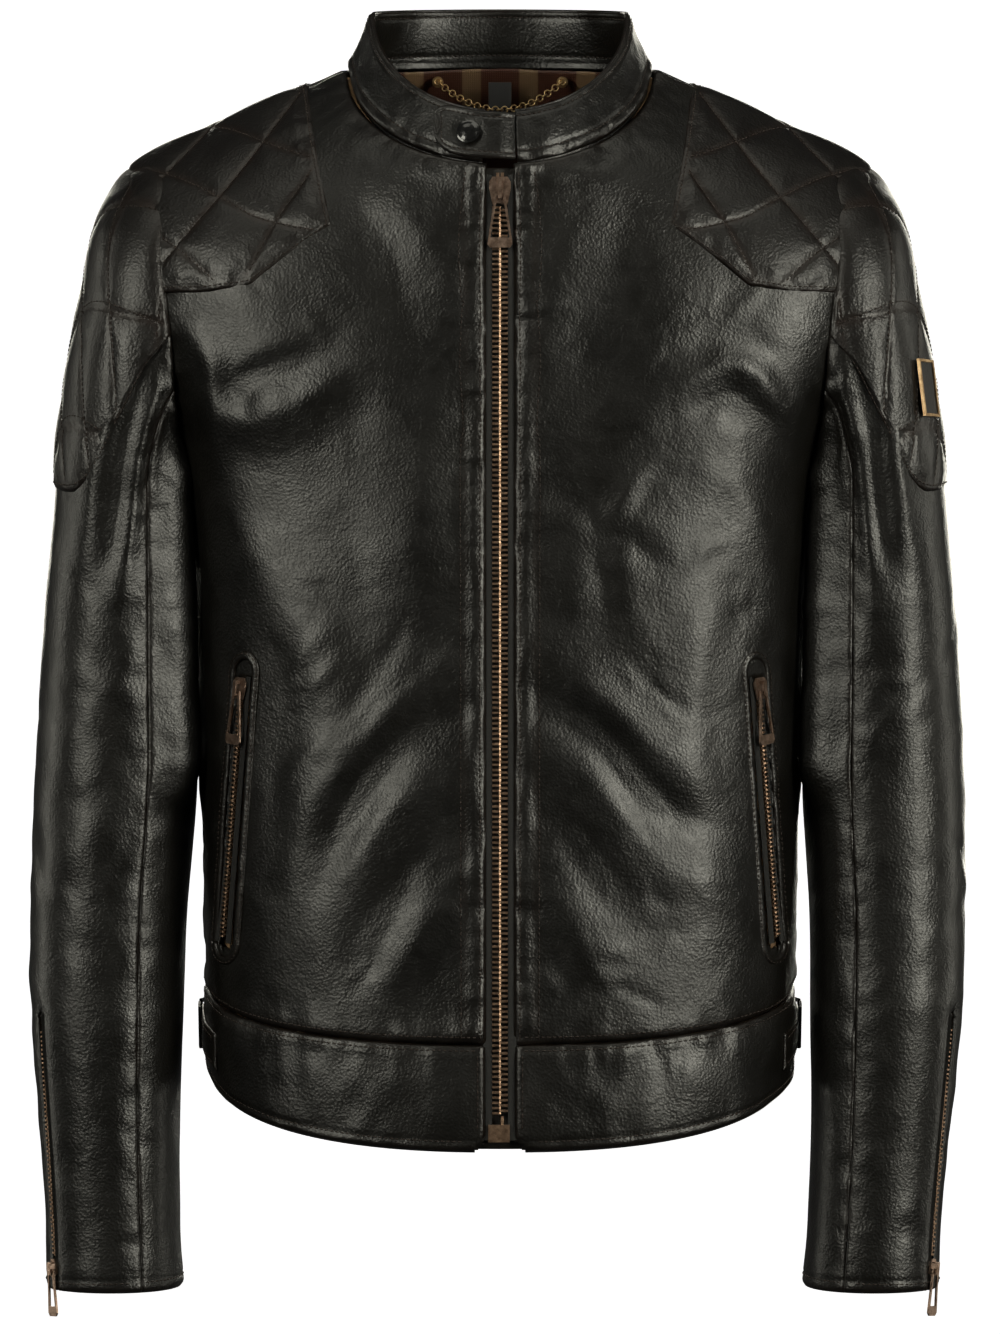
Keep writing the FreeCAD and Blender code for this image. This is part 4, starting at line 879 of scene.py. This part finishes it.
def make_waistband():
    bands = [("back", 1, lambda s, t: torso(BACK_START + BACK_SWEEP * s, t), 240)]
    for name, side in SIDES:
        bands.append((name, side, front_surface(side, 0, WAIST, FRONT_EDGE + 0.4), 130))
    for name, outward, surface, columns in bands:
        panel = Panel(surface, outward, columns, 42)
        s0, s1, t0, t1 = panel.spans()
        if name != "back":
            # The lower front corner is rounded.
            corner = np.hypot(np.maximum(0, HEM_ROUND - s0), np.maximum(0, HEM_ROUND - t0))
            panel.keep = corner < HEM_ROUND + 0.5
        p = panel.p.copy()
        fade = smooth(s0 / 10) * smooth(s1 / 10) * smooth(t0 / 10) * smooth(t1 / 10)
        lift = 0.5 + 1.1 * noise(p, (34, 34, 30), 80) * fade + 0.6 * noise(p, (12, 14, 16), 81) * fade
        lift += edge_ripple(p, t1, 15, 1.5, (10, 30, 40), 83) + edge_ripple(p, t0, 12, 1.0, (13, 30, 40), 85)
        lift += 0.9 * arch(t0, t1)
        for gap in (s0, t0, t1, s1):
            lift += turned_edge(gap, 3.4, 1.7)
        for gap, at in ((t0, 6.5), (t1, 3.2)):
            lift += seam_row(gap, at, 0.55)
        if name != "back":
            lift += seam_row(s0, 4.0)
            lift += turned_edge(HEM_ROUND + 0.5 - corner + 1e3 * (corner < 0.5), 3.4, 1.7)
        panel.dress(lift)
        rub = worn(3.0, s0, s1, t0, t1)
        label = "waistband_back" if name == "back" else f"waistband_front_{name}"
        piece(f"leather_{label}", panel, MATS["body"], rub, label, "torso", 2.4)
        threads = THREADS["torso"]
        edge_row(threads, panel, "t0", 6.5, 0.05 if name != "back" else 0.004, 0.996)
        edge_row(threads, panel, "t1", 3.2, 0.02, 0.98)
        if name != "back":
            edge_row(threads, panel, "s0", 4.0, 0.22, 0.96)


def height_on(edge, x):
    return np.interp(x, [e[0] for e in edge], [e[1] for e in edge])


def yoke_surface(side):
    def surface(s, t):
        q = 2 * t - 1
        reach = np.abs(q)
        inner = 115 + (98 - 115) * reach
        outer = 224 - 14 * reach**1.6
        x = inner + (outer - inner) * s
        back_side = q > 0
        top = ridge_level(x)
        edge = np.where(back_side, height_on(YOKE_BACK, x), height_on(YOKE_FRONT, x))
        bottom = level_at_height(x, edge, back_side)
        point = torso_at_x(x, top - (top - bottom) * reach**2, back_side)
        return point * (side, 1, 1)

    return surface


def quilting(u, v, angle, height, seed):
    """Pillows between two families of stitched lines at plus and minus an angle from u."""
    nearest = np.full(u.shape, 1e3)
    gathers = 0
    for sign in (-1, 1):
        a = math.radians(sign * angle)
        across = -u * math.sin(a) + v * math.cos(a)
        phase = across / QUILT_STEP
        gap = np.abs(phase - np.round(phase)) * QUILT_STEP
        along = u * math.cos(a) + v * math.sin(a)
        cell = np.stack([along, across * 0.25, across * 0], -1)
        gathers = gathers + noise(cell, (5.5, 9, 9), seed + sign) * np.exp(-((gap / 7.5) ** 1.5)) * smooth(gap / 1.6)
        nearest = np.minimum(nearest, gap)
    pillow = height * (1 - np.clip(1 - nearest / (0.5 * QUILT_STEP), 0, 1) ** 2.4)
    groove = -0.7 * np.exp(-((nearest / 1.3) ** 2))
    return pillow + groove + 0.26 * gathers, nearest


def quilt_lines(angle):
    """Points every half millimetre along the quilting lines, in u and v."""
    for sign in (-1, 1):
        a = math.radians(sign * angle)
        d, n = np.array((math.cos(a), math.sin(a))), np.array((-math.sin(a), math.cos(a)))
        for k in range(-14, 15):
            yield (n * k * QUILT_STEP + d * np.linspace(-600, 600, 2401)[:, None]).T


def make_yoke(name, side):
    panel = Panel(yoke_surface(side), side, 96, 190)
    s0, s1, t0, t1 = panel.spans()
    width, height = float((s0 + s1).mean()), float((t0 + t1).mean())
    u, v = panel.s * width, (panel.t - 0.5) * height
    edge = np.minimum.reduce([s0, t0, t1])
    fade = smooth((edge - 5) / 7) * smooth(s1 / 7)
    p = panel.p.copy()
    puffs, nearest = quilting(u, v, YOKE_QUILT, 1.5, 101)
    lift = 1.5 + puffs * (0.15 + 0.85 * fade)
    lift += edge_ripple(p, edge, 12, 1.0, (9, 9, 9), 103)
    lift += turned_edge(edge, 3.0, 2.1) + turned_edge(s1, 4.0, 2.4)
    lift += seam_row(edge, 3.0, 0.6) + seam_row(s1, 3.2, 0.5)
    panel.dress(lift)
    rub = np.maximum(worn(3.5, edge, s1), 0.95 * np.exp(-((nearest / 2.6) ** 2)))
    obj = piece(f"quilted_yoke_{name}", panel, MATS["quilt"], rub, f"yoke_patch_{name}",
                "torso", 2.2)
    threads = THREADS["torso"]
    inset = 5.0
    for u, v in quilt_lines(YOKE_QUILT):
        inside = (u > inset) & (u < width - inset) & (np.abs(v) < height / 2 - inset)
        inner_rows(threads, panel, u / width, v / height + 0.5, inside)
    edge_row(threads, panel, "s0", 3.0, 0.01, 0.99)
    for edge in ("t0", "t1"):
        edge_row(threads, panel, edge, 3.0, 0.02, 0.98)


def make_inside():
    """The facings and the lining. The left facing runs on behind the zip."""
    for name, side in SIDES:
        inner = 9.0 if side < 0 else -14.0
        facing = Panel(lambda s, t, side=side, inner=inner: strip_of_front(side, s, t, inner), side, 26, 150)
        p = facing.p.copy()
        facing.lift(-LINING_DEPTH - 2.2 * smooth((20 - side * p[..., 0]) / 8) + 0.4 * noise(p, (18, 18, 14), 121))
        piece(f"facing_{name}", facing, MATS["inside"], np.zeros(p.shape[:2]),
              side < 0 and "front_facings", "torso", 1.0)
        lining = Panel(front_surface(side, 0.12, TOP - 0.02, 47.5, 89), side, 60, 120)
        line_panel(lining, f"lining_front_{name}", side < 0 and "body_lining")
    back = Panel(lambda s, t: torso(91 + 178 * s, 0.12 + (TOP - 0.14) * t), 1, 120, 120)
    line_panel(back, "lining_back", None)


def line_panel(panel, label, replaced):
    arm = cut_armholes(panel, 1.0)
    p = panel.p.copy()
    waves = 0.8 * noise(p, (22, 22, 40), 131) + 0.5 * noise(p, (9, 9, 30), 132)
    panel.lift(-LINING_DEPTH + waves * smooth(arm / 10))
    piece(label, panel, MATS["lining"], np.zeros(p.shape[:2]), replaced, "torso", 0.5)


def strip_of_front(side, s, t, inner):
    level = 0.03 + (TOP - 0.1) * t
    start, end = start_angle(level, inner), start_angle(level, 46.0)
    return torso(side * (start + (end - start) * s), level)


# ---- pocket welts
def make_welt(name, side):
    """The stitched frame round the pocket zip: a closed loop of leather round the opening."""
    around, across, wide, turn = 300, 9, 6.0, 6
    low, high = np.array((161.9, -524.0)), np.array((149.4, -352.0))
    length = np.linalg.norm(high - low)
    axis = (high - low) / length
    normal = np.array((-axis[1], axis[0]))
    s, t = np.meshgrid(np.linspace(0, 1, around), np.linspace(0, 1, across), indexing="ij")
    reach = 7.0 + 5.6 * t
    end = length / 2 - turn
    straight, arc = 2 * end, math.pi * turn
    d = s * 2 * (straight + arc)
    # Up one side, round the top, down the other side, round the bottom.
    a, b = (d - straight) / turn, (d - 2 * straight - arc) / turn
    legs = [d < straight, d < straight + arc, d < 2 * straight + arc]
    px = np.select(legs, [reach, reach * np.cos(a), -reach], -reach * np.cos(b))
    py = np.select(legs, [d - end, end + reach * np.sin(a), end - (d - straight - arc)], -end - reach * np.sin(b))
    # Across the pocket the surface turns away, so the frame is narrower in the front view.
    x, z = np.moveaxis((low + high) / 2 + px[..., None] * normal * -0.72 + py[..., None] * axis, -1, 0)
    level = halving(np.zeros(s.shape), np.full(s.shape, 6.0), lambda m: torso_at_x(x, m, False)[..., 2] < z)
    p = torso_at_x(x, level, False) * (side, 1, 1)
    loop = Panel(lambda s, t: p, side, around, across)
    if (loop.n[..., 1] > 0).mean() > 0.5:
        loop.outward = -side
        loop.n = -loop.n
    width = wide * t
    lift = 1.2 + 0.4 * np.sin(math.pi * t) + turned_edge(width, 1.6, 1.4) + turned_edge(wide - width, 1.6, 1.4)
    lift += 0.35 * noise(p, (8, 8, 8), 141) - 0.45 * np.exp(-(((width - 4.3) / 0.8) ** 2))
    loop.lift(lift)
    rub = np.maximum(np.exp(-width / 1.6), np.exp(-(wide - width) / 1.6))
    piece(f"pocket_frame_{name}", loop, MATS["body"], rub, f"pocket_welt_{name}", "torso", 1.2)
    path, normals = loop.at(np.linspace(0, 1, 500), np.full(500, 4.3 / wide))
    THREADS["torso"].row(path, normals, 3.2, 2.3, 0.36)


# ---- sleeves
def sleeve_seam_bulge(level):
    """The sleeve cap stands a little proud of the armhole seam."""
    return 1.2 * smooth(level / 0.35) * np.exp(-level / 1.6)


def blend_sleeve(obj, name):
    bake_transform(obj)


def make_sleeve(name, side):
    body = f"sleeve_{name}"
    threads = THREADS[body]

    def outer(s, t):
        return sleeve(BACK_SEAM + (FRONT_SEAM - BACK_SEAM) * s, CUFF * t, side)

    def under(s, t):
        return sleeve(FRONT_SEAM - 0.8 + (360 + BACK_SEAM - FRONT_SEAM + 1.6) * s, CUFF * t, side)

    for label, surface, first, last, columns in (
        ("outer", outer, BACK_SEAM, FRONT_SEAM, 150), ("under", under, FRONT_SEAM, 360 + BACK_SEAM, 56),
    ):
        panel = Panel(surface, side, columns, 300)
        s0, s1, t0, t1 = panel.spans()
        angle, level = first + (last - first) * panel.s, CUFF * panel.t
        p = panel.p.copy()
        fade = smooth(s0 / 14) * smooth(s1 / 14) * smooth(t0 / 20) * smooth(t1 / 16)
        wrapped = np.where(angle > 180, angle - 360, angle)
        lift = soft_floor(0.42 * sleeve_folds(wrapped, p, side) * fade)
        lift += (0.7 * noise(p, (34, 40, 110), 150 + side) + 0.3 * noise(p, (15, 15, 24), 152 + side)) * fade
        lift += sleeve_seam_bulge(level)
        lift += 10.5 * np.exp(-(((angle - 148) / 17) ** 2)) * window(p[..., 2], -445, -212)
        lift += edge_ripples(p, (t0, 16, 1.6, (12, 12, 12), 155), (t1, 10, 0.7, (12, 12, 20), 157),
                             (s0, 12, 0.8, (20, 20, 12), 159), (s1, 12, 0.8, (20, 20, 12), 161))
        for gap in (s0, s1):
            lift += turned_edge(gap, 2.2, 0.7 if label == "outer" else 1.1)
        lift += turned_edge(t0, 3.4, 1.6) + turned_edge(t1, 3.4, 1.4) + seam_row(t1, 7.0, 0.5)
        rub = worn(2.6, s0, s1, t0, t1)
        if label == "outer":
            gap = along_line(np.stack([angle * CUFF_MM, -p[..., 2]], -1), CUFF_LINE)[0]
            lift = lift * smooth((gap - 2) / 12) + turned_edge(gap - 4.0, 2.6, 1.5) * (gap > 3.0)
            lift += seam_row(gap, 7.2, 0.45)
            panel.keep = gap > 3.6
        panel.dress(lift)
        obj = piece(f"leather_sleeve_{label}_{name}", panel, MATS["body"], rub,
                    f"sleeve_{label}_{name}")
        blend_sleeve(obj, name)
        edge_row(threads, panel, "t1", 7.0, 0.03, 0.97)
    make_sleeve_patch(name, side, threads)
    lining = Panel(lambda s, t: sleeve(360 * s, 0.12 + (CUFF - 0.37) * t, side), side, 90, 120)
    p = lining.p.copy()
    lining.lift(-3.6 + 0.5 * noise(p, (14, 14, 40), 171))
    rub = np.zeros(p.shape[:2])
    obj = piece(f"lining_sleeve_{name}", lining, MATS["lining"], rub, f"sleeve_lining_{name}",
                None, 0.5)
    blend_sleeve(obj, name)


def patch_reach(angle):
    """How far down the sleeve the quilted patch reaches, in ring levels."""
    return 0.05 + 3.9 * (1 - np.clip(np.abs(angle) / 100, 0, 1) ** 7)


def patch_head(angle):
    """How far below the quilting's origin the patch's curved head starts, in millimetres."""
    return 6 + 26 * (angle / PATCH_HALF) ** 2


def make_sleeve_patch(name, side, threads):
    def surface(s, t):
        angle = PATCH_HALF * (2 * s - 1)
        return sleeve(angle, PATCH_START + (patch_reach(angle) - PATCH_START) * t, side)

    panel = Panel(surface, side, 170, 100)
    s0, s1, t0, t1 = panel.spans()
    angle = PATCH_HALF * (2 * panel.s - 1)
    u, v = angle * PATCH_MM, t0 + patch_head(angle)
    edge = np.minimum.reduce([t1, s0 + 2, s1 + 2])
    fade = smooth((edge - 5) / 7) * smooth(t0 / 8)
    p = panel.p.copy()
    puffs, nearest = quilting(v, u, SLEEVE_QUILT, 1.4, 181)
    lift = 1.5 + sleeve_seam_bulge(PATCH_START + patch_reach(angle) * panel.t) + puffs * (0.15 + 0.85 * fade)
    lift += edge_ripple(p, edge, 12, 1.0, (9, 9, 9), 183)
    lift += turned_edge(t1, 3.0, 2.1) + turned_edge(t0, 4.0, 2.6) + seam_row(t1, 3.0, 0.6)
    panel.dress(lift)
    rub = np.maximum(worn(3.5, t1, t0), 0.95 * np.exp(-((nearest / 2.6) ** 2)))
    obj = piece(f"quilted_sleeve_{name}", panel, MATS["quilt"], rub, f"sleeve_patch_{name}",
                None, 2.2)
    blend_sleeve(obj, name)
    edge_row(threads, panel, "t1", 3.0, 0.01, 0.99)
    length = t0[:, -1]
    for down, around in quilt_lines(SLEEVE_QUILT):
        angle = around / PATCH_MM
        s = (angle / PATCH_HALF + 1) / 2
        reach = np.interp(s, np.linspace(0, 1, len(length)), length)
        t = (down - patch_head(angle)) / np.maximum(reach, 1)
        inside = (s > 0.02) & (s < 0.98) & (t > 4 / reach) & (t < 1 - 5 / reach)
        inner_rows(threads, panel, s, t, inside)


# ---- collar
def make_collar():
    end = 6.6

    def band(s, t):
        return collar(end + (360 - 2 * end) * s, 0.02 + 1.98 * t)

    panel = Panel(band, 1, 360, 34)
    t0, t1 = panel.spans()[2:]
    p = panel.p.copy()
    fade = smooth(t0 / 6) * smooth(t1 / 6)
    lift = 0.9 * noise(p, (26, 26, 22), 201) * fade + 0.5 * noise(p, (10, 10, 14), 202) * fade
    lift += edge_ripple(p, t0, 10, 1.5, (9, 9, 20), 203) + edge_ripple(p, t1, 9, 0.9, (9, 9, 20), 205)
    lift += 1.1 * arch(t0, t1)
    lift += turned_edge(t0, 3.2, 1.8) + turned_edge(t1, 3.0, 2.2) + seam_row(t1, 5.2, 0.55) + seam_row(t0, 7.0, 0.6)
    panel.dress(lift)
    rub = worn(3.0, t0, t1)
    piece("leather_collar", panel, MATS["body"], rub, "collar_outer", "torso", 1.4)
    threads = THREADS["torso"]
    edge_row(threads, panel, "t1", 5.2)
    edge_row(threads, panel, "t0", 7.0)

    def inside(s, t):
        """The inner band runs on below the neck seam, straight down."""
        level = -0.25 + 2.25 * t
        below = np.stack([s * 0, s * 0, 16 * np.minimum(level, 0)], -1)
        return collar(end + (360 - 2 * end) * s, np.maximum(level, 0.02)) + below

    facing = Panel(inside, -1, 360, 34)
    t0, t1 = facing.spans()[2:]
    p = facing.p.copy()
    lift = 2.9 + 0.7 * noise(p, (20, 20, 18), 211) * smooth(t1 / 8)
    lift += turned_edge(t1, 3.0, 2.2) + seam_row(t1, 5.2, 0.5) + seam_row(t0, 9.0, 0.5)
    facing.dress(lift)
    piece("collar_inside", facing, MATS["body"], np.exp(-t1 / 3.0), "collar_facing", "torso", 0.8)
    edge_row(threads, facing, "t1", 5.2)
    edge_row(threads, facing, "t0", 9.0)
    make_tab()


def make_tab():
    hinge_x, reach = 9.0, 38.0

    def surface(s, t):
        low = 1 - np.sqrt(np.clip(1 - ((s - 0.72) / 0.28).clip(0, 1) ** 2, 0, 1))
        level = 0.10 + 1.80 * (0.5 + (t - 0.5) * (1 - 0.62 * low))
        x = hinge_x - (hinge_x + reach) * s
        return collar(np.degrees(np.arcsin(x / between(COLLAR, level)[3])), level)

    panel = Panel(surface, -1, 90, 60)
    s0, s1, t0, t1 = panel.spans()
    p = panel.p.copy()
    edge = np.minimum.reduce([s1, t0, t1])
    lift = 0.4 + 2.2 * smooth(s0 / 10) + 0.5 * noise(p, (14, 14, 12), 221) * smooth(edge / 6)
    lift += edge_ripple(p, edge, 8, 0.5, (9, 9, 9), 222) + turned_edge(edge, 2.6, 1.8) + seam_row(edge, 4.2, 0.5)
    snap = np.hypot(p[..., 0] + 18.0, p[..., 2] + 44.4)
    lift -= 0.9 * np.exp(-((snap / 9.5) ** 6))
    panel.dress(lift)
    piece("leather_tab", panel, MATS["body"], np.exp(-edge / 2.6), "collar_tab", "collar_tab", 1.7)
    s = np.concatenate([np.linspace(0.02, 0.90, 200), np.full(100, 0.905), np.linspace(0.90, 0.02, 200)])
    t = np.concatenate([np.full(200, 0.13), np.linspace(0.13, 0.87, 100), np.full(200, 0.87)])
    THREADS["collar_tab"].row(*panel.at(s, t), 3.1, 2.3, 0.38)


# ---- straps, and the CAD nodes that are seen
def make_straps():
    for name, side in SIDES:
        def surface(s, t, side=side):
            return torso(side * (66 + 46 * s), 0.3 + 0.42 * t)

        panel = Panel(surface, side, 70, 22)
        s0, s1, t0, t1 = panel.spans()
        edge = np.minimum.reduce([s0, s1, t0, t1])
        p = panel.p.copy()
        lift = 3.2 + 0.3 * noise(p, (10, 10, 10), 231) + turned_edge(edge, 2.2, 1.2) + seam_row(edge, 3.4, 0.4)
        panel.dress(lift)
        rub = np.exp(-edge / 2.4)
        piece(f"leather_strap_{name}", panel, MATS["body"], rub, f"side_strap_{name}", "torso", 1.9)
        for e in ("t0", "t1"):
            edge_row(THREADS["torso"], panel, e, 3.4, 0.04, 0.96)


def both(*names):
    return [f"{name}_{side}" for name in names for side, _ in SIDES]


FINISH = {
    "teeth": both("main_zip_teeth", "pocket_zip_teeth", "cuff_zip_teeth")
    + ["main_zip_box", "main_zip_pin", "main_zip_stops"],
    "pulls": both("pocket_slider", "pocket_pull", "cuff_slider", "cuff_pull")
    + ["main_slider", "main_pull", "snap_stud"],
    "tape": both("main_zip_tape", "pocket_zip_tape", "cuff_zip_tape") + ["pocket_bags"],
    "gold": ["chain_anchors", "hang_chain"],
    "brass": ["badge_frame"],
    "black": ["snap_cap", "strap_buckles"],
    "inside": ["badge_plate", "strap_keepers"],
    "label": ["neck_label"],
}
BEVEL = 0.00028


def finish_cad_nodes():
    for key, nodes in FINISH.items():
        for node in nodes:
            obj = bpy.data.objects[node]
            for slot in obj.material_slots:
                slot.material = MATS[key]
            if key in ("teeth", "pulls", "black", "brass"):
                edge = obj.modifiers.new("edges", "BEVEL")
                edge.width = BEVEL
                edge.segments = 2
                edge.limit_method = "ANGLE"


def make_jacket():
    for name, side in SIDES:
        make_front(name, side)
        make_yoke(name, side)
        make_welt(name, side)
        make_sleeve(name, side)
    make_back()
    make_waistband()
    make_collar()
    make_inside()
    make_straps()
    for body, threads in THREADS.items():
        obj = threads.make(f"stitching_{body}", MATS["thread"])
        if body.startswith("sleeve"):
            blend_sleeve(obj, body[7:])
        else:
            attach(obj, body)
    finish_cad_nodes()


make_camera()
make_studio()
make_jacket()
